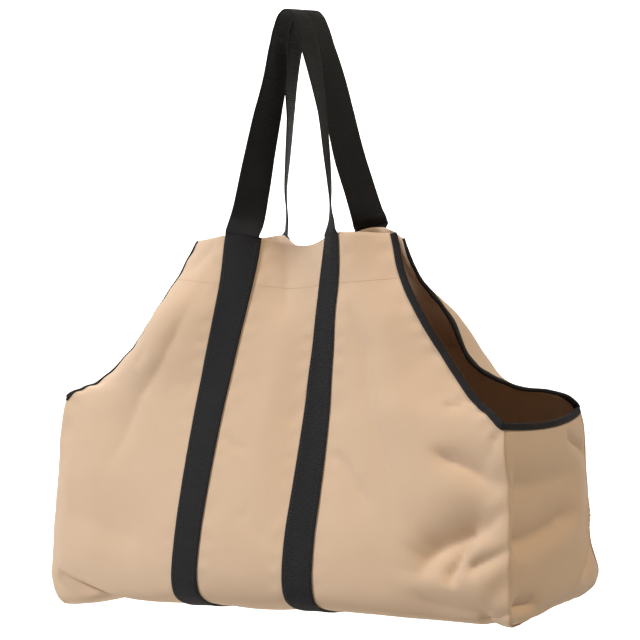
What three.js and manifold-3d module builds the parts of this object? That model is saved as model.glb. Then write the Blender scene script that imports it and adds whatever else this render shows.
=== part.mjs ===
// Open-sided carrier for firewood, hanging from its two handles.
// Millimetres, +Z up, front towards -Y, length along X. The origin is the point where the handles are held.
import * as THREE from "three";
import { mergeVertices } from "three/addons/utils/BufferGeometryUtils.js";
import Module from "manifold-3d";

const solids = await Module();
solids.setup();

// Thicknesses and widths of the cloth, the edge tape and the webbing.
const CANVAS = 1.5;
const TAPE = 1.0;
const TAPE_WIDTH = 5.3;
const SEAM_LAYERS = 0.5;
const RIM_LAYERS = 0.25;
const WEBBING = 2.0;
const WEBBING_WIDTH = 38;
const GAP = 0.35;

// Height of the underside of the handle arches above the level of the right base corners.
const HOLD_HEIGHT = 604;

// How far the hems hang to the right and to the back of the middle of the base.
const FRONT_HEM_SHIFT = 8.5;
const BACK_HEM_SHIFT = 4;
const HEM_SHIFT_Y = 5;

// How far the cut edges sway to the right halfway up the cut-outs.
const LEFT_SWAY = 9;
const FRONT_RIGHT_SWAY = -4;
const BACK_RIGHT_SWAY = 1;
// How far the left corners of the hems hang outwards.
const LEFT_HEM_REACH = 5;
// How far the base is tucked in at its left end.
const LEFT_TUCK = 11;

// How much the hem of the back is pulled up at its right webbing and dips in the middle.
const BACK_HEM_RISE = 6;
const BACK_HEM_DIP = 7;

// How far the lower left end swells outwards, and how far the lower back corner on the right sticks out.
const LEFT_SWELL = 6.5;
const CORNER_EAR = 7;
const EAR_HEIGHT = 12;

// How much further the left webbing of the back is turned at the hem, in degrees.
const BACK_TURN = 12;

// Main panel, one row per level from the hem (0) to the middle line of the base.
// end = edge of the panel at its right end, strap = line of the webbing, mid = middle of the length.
// leftDrop is how much lower the left edge hangs, frontRoll how steeply the left edge of the front rolls in.
// backIn and backLow are how far the edges of the back lie further in and lower, backRoll is their roll.
// inset is how far the right webbing lies behind the left one.
// turn and twist are how far the webbing turns about Z, in degrees.
const LEVELS = [
  { endX: 130, endY: 14, endZ: 367, leftDrop: 10, frontRoll: 0.4,
    backIn: 4, backEndY: 8, backLow: 6, backRoll: 0.6,
    strapX: 56, strapY: 46, strapZ: 366, inset: 9, turn: 34, twist: -4, midY: 11, midZ: 353 },
  { endX: 152, endY: 28, endZ: 325, leftDrop: 6, frontRoll: 1,
    backIn: 7, backEndY: 6, backLow: 2, backRoll: 1.5,
    strapX: 58, strapY: 51.5, strapZ: 323, inset: 11, turn: 20, twist: -8, midY: 30, midZ: 320 },
  { endX: 183, endY: 40, endZ: 285, leftDrop: 7, frontRoll: 1.5,
    backIn: -1, backEndY: 2, backLow: 3, backRoll: 3.3,
    strapX: 60, strapY: 58.5, strapZ: 284, inset: 12.5, turn: 19, twist: -9, midY: 44, midZ: 283 },
  { endX: 216, endY: 44, endZ: 243, leftDrop: 11, frontRoll: 1.2,
    backIn: 0.5, backEndY: -2, backLow: 9, backRoll: 4,
    strapX: 62, strapY: 66, strapZ: 243, inset: 17, turn: 16, twist: -9, midY: 55, midZ: 243 },
  { endX: 250, endY: 55, endZ: 207, leftDrop: 12.5, frontRoll: 0.5,
    backIn: 4, backEndY: 40, backLow: -1, backRoll: 1.3,
    strapX: 64, strapY: 72, strapZ: 208, inset: 17, turn: 12, twist: -8, midY: 63, midZ: 208 },
  { endX: 270.5, endY: 63, endZ: 195.5, leftDrop: 11.5, frontRoll: 0.3,
    backIn: 0, backEndY: 68, backLow: -7, backRoll: 0.6,
    strapX: 64.8, strapY: 75, strapZ: 195, inset: 18, turn: 10.5, twist: -8, midY: 67, midZ: 195 },
  { endX: 288, endY: 71, endZ: 185, leftDrop: 10.5, frontRoll: 0.1,
    backIn: 0, backEndY: 96.5, backLow: 0, backRoll: 0,
    strapX: 65.5, strapY: 78.5, strapZ: 182, inset: 19, turn: 9, twist: -8, midY: 71, midZ: 182 },
  { endX: 294, endY: 79, endZ: 122, leftDrop: 26, frontRoll: 0,
    backIn: 0, backEndY: 107.5, backLow: 0, backRoll: 0,
    strapX: 69, strapY: 94.5, strapZ: 120, inset: 15, turn: 4, twist: -6, midY: 91, midZ: 120 },
  { endX: 300, endY: 84, endZ: 56, leftDrop: 44, frontRoll: 0,
    backIn: 0, backEndY: 105, backLow: 0, backRoll: 0,
    strapX: 72, strapY: 108.5, strapZ: 55, inset: 6.5, turn: 0, twist: -5, midY: 109, midZ: 55 },
  { endX: 302, endY: 84, endZ: 8, leftDrop: 59, frontRoll: 0,
    backIn: 0, backEndY: 103, backLow: 0, backRoll: 0,
    strapX: 74.5, strapY: 112, strapZ: 6, inset: 2, turn: -2, twist: -4, midY: 114, midZ: 4 },
  { endX: 300, endY: 74, endZ: -8, leftDrop: 64.5, frontRoll: 0,
    backIn: 0, backEndY: 91, backLow: 0, backRoll: 0,
    strapX: 75, strapY: 96, strapZ: -16, inset: 0, turn: -2, twist: -2, midY: 99, midZ: -24 },
  { endX: 297, endY: 44, endZ: -11, leftDrop: 64.5, frontRoll: 0,
    backIn: 0, backEndY: 54, backLow: 0, backRoll: 0,
    strapX: 75, strapY: 54, strapZ: -28, inset: 0, turn: 0, twist: 0, midY: 56, midZ: -40 },
  { endX: 295, endY: 0, endZ: -9.5, leftDrop: 64.5, frontRoll: 0,
    backIn: 0, backEndY: 0, backLow: 0, backRoll: 0,
    strapX: 75, strapY: 0, strapZ: -32, inset: 0, turn: 0, twist: 0, midY: 0, midZ: -44 },
];
const SEAM_LEVEL = 6;
const CORNER_LEVEL = 10;

// Grid of the main panel: rows per part of its height and columns per part of its length.
const ROWS_CUTOUT = 12;
const ROWS_END = 8;
const ROWS_BASE = 6;
const ROWS_HALF = ROWS_CUTOUT + ROWS_END + ROWS_BASE;
const COLUMNS_OUTER = 8;
const COLUMNS_MIDDLE = 8;

// Folds pressed into the cloth: a crease from one place to another, its depth and half its width.
// A negative depth raises a soft ridge.
const FRONT_FOLDS = [
  { x1: 288, z1: 120, x2: 205, z2: 40, depth: 7, width: 14 },
  { x1: 285, z1: 80, x2: 225, z2: 5, depth: 6, width: 12 },
  { x1: 110, z1: 300, x2: 150, z2: 60, depth: -6, width: 26 },
  { x1: -110, z1: 270, x2: -235, z2: 110, depth: 6, width: 26 },
  { x1: -282, z1: -12, x2: -130, z2: -20, depth: 7, width: 11 },
];
const BACK_FOLDS = [
  { x1: -280, z1: 110, x2: -190, z2: 30, depth: 7, width: 16 },
  { x1: 120, z1: 280, x2: 235, z2: 100, depth: 6, width: 26 },
  { x1: -110, z1: 290, x2: -140, z2: 80, depth: -6, width: 26 },
];
const END_FOLDS = [
  { y1: -84, z1: 70, y2: 40, z2: 100, depth: 6, width: 14 },
  { y1: 66, z1: 130, y2: 50, z2: 20, depth: 5, width: 12 },
];

// End panel: how far its middle stands out, and how far its rim sags.
const END_BULGE = 24;
const RIM_SAG = 5;

// Free part of a handle, one row per height from above the hem to the top of the arch.
// y is how far the handle stands from the middle of the carrier, twist turns both handles about Z.
// Each leg has its distance from the middle line and the direction of its width about Z, in degrees.
const HANDLE = [
  { z: 384, y: 36.5, twist: -2,
    frontLeft: [54, 47], frontRight: [53, 129], backLeft: [53, 129], backRight: [54, 53] },
  { z: 415, y: 30.5, twist: 0,
    frontLeft: [49, 57], frontRight: [48, 120], backLeft: [47, 123], backRight: [48.5, 59] },
  { z: 450, y: 25, twist: 1,
    frontLeft: [43.5, 65], frontRight: [42.5, 115], backLeft: [38.5, 118], backRight: [41, 60] },
  { z: 493, y: 20.5, twist: 4,
    frontLeft: [34.5, 72], frontRight: [35, 112], backLeft: [29, 114], backRight: [34.5, 68] },
  { z: 535, y: 19.3, twist: 7,
    frontLeft: [23.5, 83], frontRight: [26.5, 102], backLeft: [24.5, 103], backRight: [28, 83] },
  { z: 571, y: 19.3, twist: 8,
    frontLeft: [18, 96], frontRight: [18.5, 93], backLeft: [18.5, 97], backRight: [18.5, 93] },
  { z: 589, y: 19.3, twist: 8,
    frontLeft: [13.5, 98], frontRight: [13.5, 95], backLeft: [13.5, 98], backRight: [13, 95] },
  { z: 602, y: 19.3, twist: 8,
    frontLeft: [7.5, 98], frontRight: [7.5, 98], backLeft: [7.5, 98], backRight: [7, 98] },
  { z: 607, y: 19.3, twist: 8,
    frontLeft: [0, 98], frontRight: [0, 98], backLeft: [0, 98], backRight: [0, 98] },
];
const HANDLE_TOP = 607;
const BACK_HANDLE_RISE = 4;
// Angle at which the width of both handles rises towards the back, in degrees.
const HANDLE_TILT = 6;
// Height at which the two ends of a handle have evened out after leaving the hem at different depths.
const HANDLE_EVEN = 520;
const HANDLE_STEPS = 44;

const RAD = Math.PI / 180;
const hemShift = (side) => (side < 0 ? FRONT_HEM_SHIFT : BACK_HEM_SHIFT);

// Value of a column of LEVELS at a place between its rows. A cornered one has a corner at the end seam.
function level(name, place, cornered = false) {
  const last = LEVELS.length - 1;
  const i = Math.min(Math.floor(place), last - 1);
  const f = place - i;
  const before = i > 0 ? LEVELS[i - 1][name] : 2 * LEVELS[0][name] - LEVELS[1][name];
  const a = LEVELS[i][name];
  const b = LEVELS[i + 1][name];
  const mirrored = name.endsWith("Y") ? -1 : 1;
  const after = i + 2 <= last ? LEVELS[i + 2][name] : mirrored * LEVELS[last - 1][name];
  const slopeA = cornered && i === SEAM_LEVEL ? b - a : (b - before) / 2;
  const slopeB = cornered && i + 1 === SEAM_LEVEL ? b - a : (after - a) / 2;
  const f2 = f * f;
  const f3 = f2 * f;
  return (
    a * (2 * f3 - 3 * f2 + 1) + slopeA * (f3 - 2 * f2 + f) + b * (3 * f2 - 2 * f3) + slopeB * (f3 - f2)
  );
}

// Place in LEVELS of a row of the grid: the cut-out, the end seam and the base each get their own rows.
function placeOfRow(row) {
  if (row <= ROWS_CUTOUT) {
    return (SEAM_LEVEL * row) / ROWS_CUTOUT;
  }
  if (row <= ROWS_CUTOUT + ROWS_END) {
    return SEAM_LEVEL + ((CORNER_LEVEL - SEAM_LEVEL) * (row - ROWS_CUTOUT)) / ROWS_END;
  }
  const last = LEVELS.length - 1;
  return CORNER_LEVEL + ((last - CORNER_LEVEL) * (row - ROWS_CUTOUT - ROWS_END)) / ROWS_BASE;
}

// Smooth curve through knots with given slopes.
function hermite(knots, x) {
  let i = 0;
  while (i < knots.length - 2 && x > knots[i + 1].x) {
    i += 1;
  }
  const a = knots[i];
  const b = knots[i + 1];
  const h = b.x - a.x;
  const f = (x - a.x) / h;
  const f2 = f * f;
  const f3 = f2 * f;
  return (
    a.v * (2 * f3 - 3 * f2 + 1) + a.slope * h * (f3 - 2 * f2 + f) +
    b.v * (3 * f2 - 2 * f3) + b.slope * h * (f3 - f2)
  );
}

// Slopes where none is given come from the neighbouring knots.
function fillSlopes(knots) {
  knots.forEach((k, i) => {
    if (k.slope === undefined) {
      const a = knots[Math.max(i - 1, 0)];
      const b = knots[Math.min(i + 1, knots.length - 1)];
      k.slope = (b.v - a.v) / (b.x - a.x);
    }
  });
  return knots;
}

// Depth of all folds of a list at a place on a panel.
function foldDepth(folds, across, z, from, to) {
  let depth = 0;
  for (const fold of folds) {
    const du = fold[to] - fold[from];
    const dz = fold.z2 - fold.z1;
    const length2 = du * du + dz * dz;
    const along = ((across - fold[from]) * du + (z - fold.z1) * dz) / length2;
    const off = ((across - fold[from]) * dz - (z - fold.z1) * du) / Math.sqrt(length2);
    const beyond = Math.max(0, -along, along - 1) * Math.sqrt(length2);
    const fade = Math.exp(-((beyond / fold.width) ** 2));
    depth += fold.depth * fade * Math.exp(-((off / fold.width) ** 2));
  }
  return depth;
}

// One cross row of the main panel: where the webbing sits and how the cloth runs along X.
// side is -1 for the front and 1 for the back.
function crossRow(place, side) {
  const strapX = level("strapX", place);
  const endX = level("endX", place, side < 0) - (side > 0 ? level("backIn", place) : 0);
  const turn = level("turn", place);
  const twist = level("twist", place);
  const drop = level("leftDrop", place);
  const extra = side > 0 ? BACK_TURN * Math.max(0, 1 - place) : 0;
  const angles = { left: (twist - side * turn - extra) * RAD, right: (twist + side * turn) * RAD };
  const strapY = level("strapY", place);
  const inset = level("inset", place);
  const leftY = strapY - (side > 0 ? inset : 0);
  const rightY = strapY - (side < 0 ? inset : 0);
  const endY = level(side < 0 ? "endY" : "backEndY", place);
  const endZ = level("endZ", place, side < 0) - (side > 0 ? level("backLow", place) : 0);
  const strapZ = level("strapZ", place);
  const roll = level("backRoll", place);
  const leftRoll = side > 0 ? roll : (leftY - endY) / (endX - strapX) + level("frontRoll", place);
  const depth = fillSlopes([
    { x: -endX, v: endY, slope: leftRoll },
    { x: -strapX, v: leftY, slope: side * Math.tan(angles.left) },
    { x: 0, v: level("midY", place) },
    { x: strapX, v: rightY, slope: side * Math.tan(angles.right) },
    { x: endX, v: endY, slope: side > 0 ? -roll : undefined },
  ]);
  const rise = side > 0 ? Math.max(0, 1 - place / 2) : 0;
  const height = fillSlopes([
    { x: -endX, v: endZ - drop },
    { x: -strapX, v: strapZ - 0.25 * drop },
    { x: 0, v: level("midZ", place) - BACK_HEM_DIP * rise },
    { x: strapX, v: strapZ + BACK_HEM_RISE * rise },
    { x: endX, v: endZ },
  ]);
  return { strapX, endX, angles, depth, height };
}

// Point of the middle surface of the main panel.
function panelPoint(cross, side, x) {
  const z = hermite(cross.height, x);
  const folds = side < 0 ? FRONT_FOLDS : BACK_FOLDS;
  const outward = hermite(cross.depth, x);
  const fold = foldDepth(folds, x, z, "x1", "x2") * THREE.MathUtils.smoothstep(outward, 30, 60);
  const edge = Math.min(1, (cross.endX - Math.abs(x)) / 30);
  const lift = THREE.MathUtils.smoothstep(z, 180, 360) * (1 - (x / cross.endX) ** 2);
  const upCutout = THREE.MathUtils.clamp((z - 190) / 165, 0, 1);
  const rightSway = side < 0 ? FRONT_RIGHT_SWAY : BACK_RIGHT_SWAY;
  const sway = (x < 0 ? LEFT_SWAY : rightSway) * Math.sin(Math.PI * upCutout);
  const swell = x < 0 ? LEFT_SWELL * (1 - THREE.MathUtils.smoothstep(z, 110, 215)) : 0;
  const reach = x < 0 ? LEFT_HEM_REACH * THREE.MathUtils.smoothstep(z, 270, 345) : 0;
  const tuck = x < 0 ? LEFT_TUCK * (1 - THREE.MathUtils.smoothstep(z, -74, -34)) : 0;
  const nearCorner = (x / cross.endX) ** 8 * THREE.MathUtils.smoothstep(outward, 60, 100);
  const ear = side > 0 && x > 0 ? CORNER_EAR * nearCorner * Math.exp(-(((z - EAR_HEIGHT) / 24) ** 2)) : 0;
  return new THREE.Vector3(
    x + hemShift(side) * lift + (sway - swell - reach + tuck) * (x / cross.endX) ** 2 + 0.7 * ear,
    side * (outward - fold * edge + ear) + HEM_SHIFT_Y * lift,
    z,
  );
}

// Places along X of the columns of a row: tape, outer cloth, webbing, middle cloth, and the same again.
function columnPlaces(cross, leftStep, rightStep) {
  const { strapX, endX, angles } = cross;
  const half = WEBBING_WIDTH / 2;
  const leftHalf = half * Math.cos(angles.left);
  const rightHalf = half * Math.cos(angles.right);
  const xs = [-endX];
  const outerFrom = -endX + leftStep;
  const outerTo = -strapX - leftHalf;
  for (let i = 0; i < COLUMNS_OUTER; i += 1) {
    xs.push(outerFrom + ((outerTo - outerFrom) * i) / COLUMNS_OUTER);
  }
  xs.push(-strapX - leftHalf, -strapX);
  const middleFrom = -strapX + leftHalf;
  const middleTo = strapX - rightHalf;
  for (let i = 0; i <= COLUMNS_MIDDLE; i += 1) {
    xs.push(middleFrom + ((middleTo - middleFrom) * i) / COLUMNS_MIDDLE);
  }
  xs.push(strapX, strapX + rightHalf);
  const lastFrom = strapX + rightHalf;
  const lastTo = endX - rightStep;
  for (let i = 1; i <= COLUMNS_OUTER; i += 1) {
    xs.push(lastFrom + ((lastTo - lastFrom) * i) / COLUMNS_OUTER);
  }
  xs.push(endX);
  return xs;
}
const LEFT_STRAP = COLUMNS_OUTER + 2;
const RIGHT_STRAP = COLUMNS_OUTER + COLUMNS_MIDDLE + 4;

// Run along X that gives the tape its full width, however the edge of the cut-out slopes and rolls.
function tapeStep(row, side, sideX) {
  const place = placeOfRow(Math.min(row, ROWS_CUTOUT - 0.5));
  const edgeAt = (where, inward) => {
    const cross = crossRow(where, side);
    return panelPoint(cross, side, sideX * (cross.endX - inward));
  };
  const along = edgeAt(place + 0.05, 0).sub(edgeAt(Math.max(place - 0.05, 0), 0)).normalize();
  const inward = edgeAt(place, 3).sub(edgeAt(place, 0));
  return (3 * TAPE_WIDTH) / inward.cross(along).length();
}

// Middle surface of the main panel as rows of points: front hem, base, back hem.
const panelRows = [];
for (let row = 0; row <= 2 * ROWS_HALF; row += 1) {
  const side = row <= ROWS_HALF ? -1 : 1;
  const ownRow = row <= ROWS_HALF ? row : 2 * ROWS_HALF - row;
  const cross = crossRow(placeOfRow(ownRow), side);
  const columns = columnPlaces(cross, tapeStep(ownRow, side, -1), tapeStep(ownRow, side, 1));
  panelRows.push(columns.map((x) => panelPoint(cross, side, x)));
}

// Normals of a grid of points, turned so that they point to the given side of the cloth.
function gridNormals(rows, sign) {
  return rows.map((points, r) =>
    points.map((_, c) => {
      const up = rows[Math.max(r - 1, 0)][c];
      const down = rows[Math.min(r + 1, rows.length - 1)][c];
      const left = points[Math.max(c - 1, 0)];
      const right = points[Math.min(c + 1, points.length - 1)];
      const along = new THREE.Vector3().subVectors(right, left);
      const across = new THREE.Vector3().subVectors(down, up);
      return along.cross(across).multiplyScalar(sign).normalize();
    }),
  );
}

// Triangles are gathered in one list per solid.
function quad(out, a, b, c, d) {
  for (const p of [a, b, c, a, c, d]) {
    out.push(p.x, p.y, p.z);
  }
}

function geometryOf(out) {
  const geometry = new THREE.BufferGeometry();
  geometry.setAttribute("position", new THREE.Float32BufferAttribute(out, 3));
  geometry.computeVertexNormals();
  return geometry;
}

function moved(point, normal, distance) {
  return point.clone().addScaledVector(normal, distance);
}

// A sheet with thickness: both faces and the four edges of a grid. flip turns the faces round.
function sheetSolid(rows, normals, thickness, flip) {
  const outer = rows.map((points, r) => points.map((p, c) => moved(p, normals[r][c], thickness / 2)));
  const inner = rows.map((points, r) => points.map((p, c) => moved(p, normals[r][c], -thickness / 2)));
  const out = [];
  const face = (a, b, c, d) => (flip ? quad(out, a, d, c, b) : quad(out, a, b, c, d));
  const lastRow = rows.length - 1;
  const lastColumn = rows[0].length - 1;
  for (let r = 0; r < lastRow; r += 1) {
    for (let c = 0; c < lastColumn; c += 1) {
      face(outer[r + 1][c], outer[r + 1][c + 1], outer[r][c + 1], outer[r][c]);
      face(inner[r][c + 1], inner[r + 1][c + 1], inner[r + 1][c], inner[r][c]);
    }
    face(outer[r][0], inner[r][0], inner[r + 1][0], outer[r + 1][0]);
    face(outer[r + 1][lastColumn], inner[r + 1][lastColumn], inner[r][lastColumn], outer[r][lastColumn]);
  }
  for (let c = 0; c < lastColumn; c += 1) {
    face(outer[0][c], outer[0][c + 1], inner[0][c + 1], inner[0][c]);
    face(inner[lastRow][c], inner[lastRow][c + 1], outer[lastRow][c + 1], outer[lastRow][c]);
  }
  return geometryOf(out);
}

// A solid with the room of another one cut out of it.
function cutFrom(geometry, tool) {
  const toSolid = (shape) => {
    const bare = new THREE.BufferGeometry().setAttribute("position", shape.getAttribute("position"));
    const merged = mergeVertices(bare, 1e-4);
    return new solids.Manifold(
      new solids.Mesh({
        numProp: 3,
        vertProperties: merged.getAttribute("position").array,
        triVerts: new Uint32Array(merged.index.array),
      }),
    );
  };
  const mesh = toSolid(geometry).subtract(toSolid(tool)).getMesh();
  const result = new THREE.BufferGeometry();
  result.setAttribute("position", new THREE.BufferAttribute(mesh.vertProperties, 3));
  result.setIndex(new THREE.BufferAttribute(mesh.triVerts, 1));
  return result.toNonIndexed();
}

const bag = new THREE.Group();
bag.position.z = -HOLD_HEIGHT;

function addPiece(name, geometry, material) {
  const mesh = new THREE.Mesh(geometry, material);
  mesh.name = name;
  bag.add(mesh);
}

const canvasLook = () => new THREE.MeshStandardMaterial({ color: 0xd8ba9a, roughness: 0.9, metalness: 0 });
const tapeLook = () => new THREE.MeshStandardMaterial({ color: 0x2d2e33, roughness: 0.8, metalness: 0 });
const webbingLook = () => new THREE.MeshStandardMaterial({ color: 0x2b2b2b, roughness: 0.7, metalness: 0 });

// Main panel: front, rounded base and back in one length of canvas.
const panelNormals = gridNormals(panelRows, -1);
addPiece("main_panel", sheetSolid(panelRows, panelNormals, CANVAS, false), canvasLook());

// End panels: each fills the end of the main panel from the rim down to the base.
// Their rims and edges follow the same rows as the edge of the main panel.
const END_COLUMNS = 2 * ROWS_BASE;
function endRows(sideX) {
  const column = sideX < 0 ? 0 : panelRows[0].length - 1;
  const edgePoint = (row) =>
    moved(panelRows[row][column], panelNormals[row][column], -(CANVAS + GAP))
      .add(new THREE.Vector3(-sideX * (CANVAS / 2), 0, 0));
  const firstRow = ROWS_CUTOUT;
  const cornerRow = ROWS_CUTOUT + ROWS_END;
  const total = 2 * ROWS_HALF;
  const frontEdge = [];
  const backEdge = [];
  for (let i = 0; i <= ROWS_END; i += 1) {
    frontEdge.push(edgePoint(firstRow + i));
    backEdge.push(edgePoint(total - firstRow - i));
  }
  const bottom = [];
  for (let i = 0; i <= END_COLUMNS; i += 1) {
    bottom.push(edgePoint(cornerRow + i));
  }
  const rim = bottom.map((_, i) => {
    const f = i / END_COLUMNS;
    const point = frontEdge[0].clone().lerp(backEdge[0], f);
    point.z -= RIM_SAG * 4 * f * (1 - f);
    return point;
  });
  const rows = [];
  for (let r = 0; r <= ROWS_END; r += 1) {
    const v = r / ROWS_END;
    const points = [];
    for (let c = 0; c <= END_COLUMNS; c += 1) {
      const u = c / END_COLUMNS;
      const sides = frontEdge[r].clone().lerp(backEdge[r], u);
      const ends = rim[c].clone().lerp(bottom[c], v);
      const topCorners = rim[0].clone().lerp(rim[END_COLUMNS], u);
      const lowCorners = bottom[0].clone().lerp(bottom[END_COLUMNS], u);
      const corners = topCorners.lerp(lowCorners, v);
      const point = sides.add(ends).sub(corners);
      const bulge = END_BULGE * Math.sin(Math.PI * u) ** 0.8 * Math.sin(Math.PI * (0.12 + 0.88 * v)) ** 0.8;
      const inside = Math.min(1, 6 * u, 6 * (1 - u), 6 * v, 6 * (1 - v));
      const fold = foldDepth(END_FOLDS, point.y, point.z, "y1", "y2") * inside;
      point.x += sideX * (bulge - fold);
      points.push(point);
    }
    rows.push(points);
  }
  return rows;
}

// Tape folded over the cut-out of the front, the rim of the end panel and the cut-out of the back.
// Each station is a channel: outer leg, fold over the edge, inner leg.
function tapeStations(sideX, rows, normals) {
  const column = sideX < 0 ? 0 : panelRows[0].length - 1;
  const next = column - sideX;
  const stations = [];
  const add = (outer, inner, leg, extra, foldAway) => {
    const near = CANVAS / 2 + GAP + extra;
    const far = near + TAPE;
    const low = GAP + 3 * extra;
    const up = foldAway ?? new THREE.Vector3().subVectors(outer.point, leg.point).normalize();
    stations.push([
      moved(leg.point, leg.normal, far),
      moved(moved(outer.point, up, low + TAPE), outer.normal, far),
      moved(moved(inner.point, up, low + TAPE), inner.normal, -far),
      moved(leg.point, leg.normal, -far),
      moved(leg.point, leg.normal, -near),
      moved(moved(inner.point, up, low), inner.normal, -near),
      moved(moved(outer.point, up, low), outer.normal, near),
      moved(leg.point, leg.normal, near),
    ]);
  };
  const onPanel = (row, c) => ({ point: panelRows[row][c], normal: panelNormals[row][c] });
  const corner = (row, endColumn) => {
    const a = panelNormals[row][column];
    const b = normals[0][endColumn];
    const normal = new THREE.Vector3().addVectors(a, b).divideScalar(1 + a.dot(b));
    const point = panelRows[row][column].clone();
    point.x -= sideX * (CANVAS / 2);
    const below = panelRows[row + (endColumn === 0 ? 1 : -1)][column].clone();
    below.x -= sideX * (CANVAS / 2);
    const leg = { point: moved(point, below.sub(point).normalize(), TAPE_WIDTH), normal };
    return { edge: { point, normal }, leg };
  };
  const seamRow = (row, above) => {
    const edge = onPanel(row, column);
    const higher = onPanel(above, column);
    const f = (2 * CANVAS) / Math.abs(edge.point.x - higher.point.x);
    const inner = {
      point: edge.point.clone().lerp(higher.point, f),
      normal: edge.normal.clone().lerp(higher.normal, f),
    };
    const leg = onPanel(row, next);
    const along = higher.point.clone().sub(edge.point).normalize();
    const away = edge.point.clone().sub(leg.point).normalize();
    away.addScaledVector(along, -away.dot(along)).normalize();
    add(edge, inner, leg, SEAM_LAYERS, away);
  };
  const addOnPanel = (row) => {
    const besideSeam = Math.abs(ROWS_HALF - row) === ROWS_HALF - ROWS_CUTOUT + 1;
    add(onPanel(row, column), onPanel(row, column), onPanel(row, next), besideSeam ? SEAM_LAYERS / 2 : 0);
  };
  for (let row = 0; row < ROWS_CUTOUT; row += 1) {
    addOnPanel(row);
  }
  const frontTurn = corner(ROWS_CUTOUT, 0);
  seamRow(ROWS_CUTOUT, ROWS_CUTOUT - 1);
  add(frontTurn.edge, frontTurn.edge, frontTurn.leg, SEAM_LAYERS);
  for (let c = 1; c < END_COLUMNS; c += 1) {
    const f = TAPE_WIDTH / rows[0][c].distanceTo(rows[1][c]);
    const edge = { point: rows[0][c], normal: normals[0][c] };
    const leg = {
      point: rows[0][c].clone().lerp(rows[1][c], f),
      normal: normals[0][c].clone().lerp(normals[1][c], f),
    };
    add(edge, edge, leg, c === 1 || c === END_COLUMNS - 1 ? SEAM_LAYERS / 2 : RIM_LAYERS);
  }
  const backRow = 2 * ROWS_HALF - ROWS_CUTOUT;
  const backTurn = corner(backRow, END_COLUMNS);
  add(backTurn.edge, backTurn.edge, backTurn.leg, SEAM_LAYERS);
  seamRow(backRow, backRow + 1);
  for (let row = backRow + 1; row <= 2 * ROWS_HALF; row += 1) {
    addOnPanel(row);
  }
  return stations;
}

// Sides of the channel are split along the same diagonals as the cloth under them.
function tapeSolid(stations, sideX) {
  const out = [];
  const count = stations[0].length;
  for (let s = 0; s < stations.length - 1; s += 1) {
    for (let i = 0; i < count; i += 1) {
      const j = (i + 1) % count;
      const corners = [stations[s][i], stations[s + 1][i], stations[s + 1][j], stations[s][j]];
      const onRim = sideX > 0 && s > ROWS_CUTOUT && s <= ROWS_CUTOUT + END_COLUMNS;
      const backHalf = s > ROWS_CUTOUT + 1 + END_COLUMNS / 2;
      const other = i % 2 === 0 ? (i % 4 === 0) !== onRim : backHalf === sideX > 0;
      const turned = other ? [...corners.slice(1), corners[0]] : corners;
      quad(out, ...(sideX > 0 ? turned : turned.reverse()));
    }
  }
  const first = stations[0];
  const last = stations[stations.length - 1];
  for (const [a, b, c, d] of [[0, 1, 6, 7], [1, 2, 5, 6], [2, 3, 4, 5]]) {
    const start = [first[a], first[b], first[c], first[d]];
    const finish = [last[d], last[c], last[b], last[a]];
    quad(out, ...(sideX > 0 ? start : start.reverse()));
    quad(out, ...(sideX > 0 ? finish : finish.reverse()));
  }
  return geometryOf(out);
}

const widened = panelRows.map((points) =>
  points.map((p, c) => {
    const side = c === 0 ? -1 : Number(c === points.length - 1);
    return p.clone().add(new THREE.Vector3(side * 0.5 * GAP, 0, 0));
  }),
);
const clearance = sheetSolid(widened, panelNormals, CANVAS + GAP, false);
for (const [name, sideX] of [["left", -1], ["right", 1]]) {
  const rows = endRows(sideX);
  const normals = gridNormals(rows, -sideX);
  addPiece("end_panel_" + name, sheetSolid(rows, normals, CANVAS, sideX < 0), canvasLook());
  const tape = cutFrom(tapeSolid(tapeStations(sideX, rows, normals), sideX), clearance);
  addPiece("edge_binding_" + name, tape, tapeLook());
}

// Webbing: each length starts under the base, is sewn up the panel, makes a handle and comes down again.
// Outer faces of the two ends of a handle turn towards each other on the way up.
function webbingStation(centre, across, outward) {
  const half = WEBBING_WIDTH / 2;
  const inside = moved(centre, outward, -WEBBING / 2);
  const outside = moved(centre, outward, WEBBING / 2);
  return [
    moved(inside, across, -half),
    inside,
    moved(inside, across, half),
    moved(outside, across, half),
    outside,
    moved(outside, across, -half),
  ];
}

// Sewn part of a length on one row of the panel, from one edge of the webbing to the other.
function sewnStation(row, columns, shift) {
  const near = CANVAS / 2 + GAP;
  const far = near + WEBBING;
  const at = (c, distance) => moved(panelRows[row][c], panelNormals[row][c], distance).add(shift);
  const [a, b, c] = columns;
  return [at(a, near), at(b, near), at(c, near), at(c, far), at(b, far), at(a, far)];
}

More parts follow.
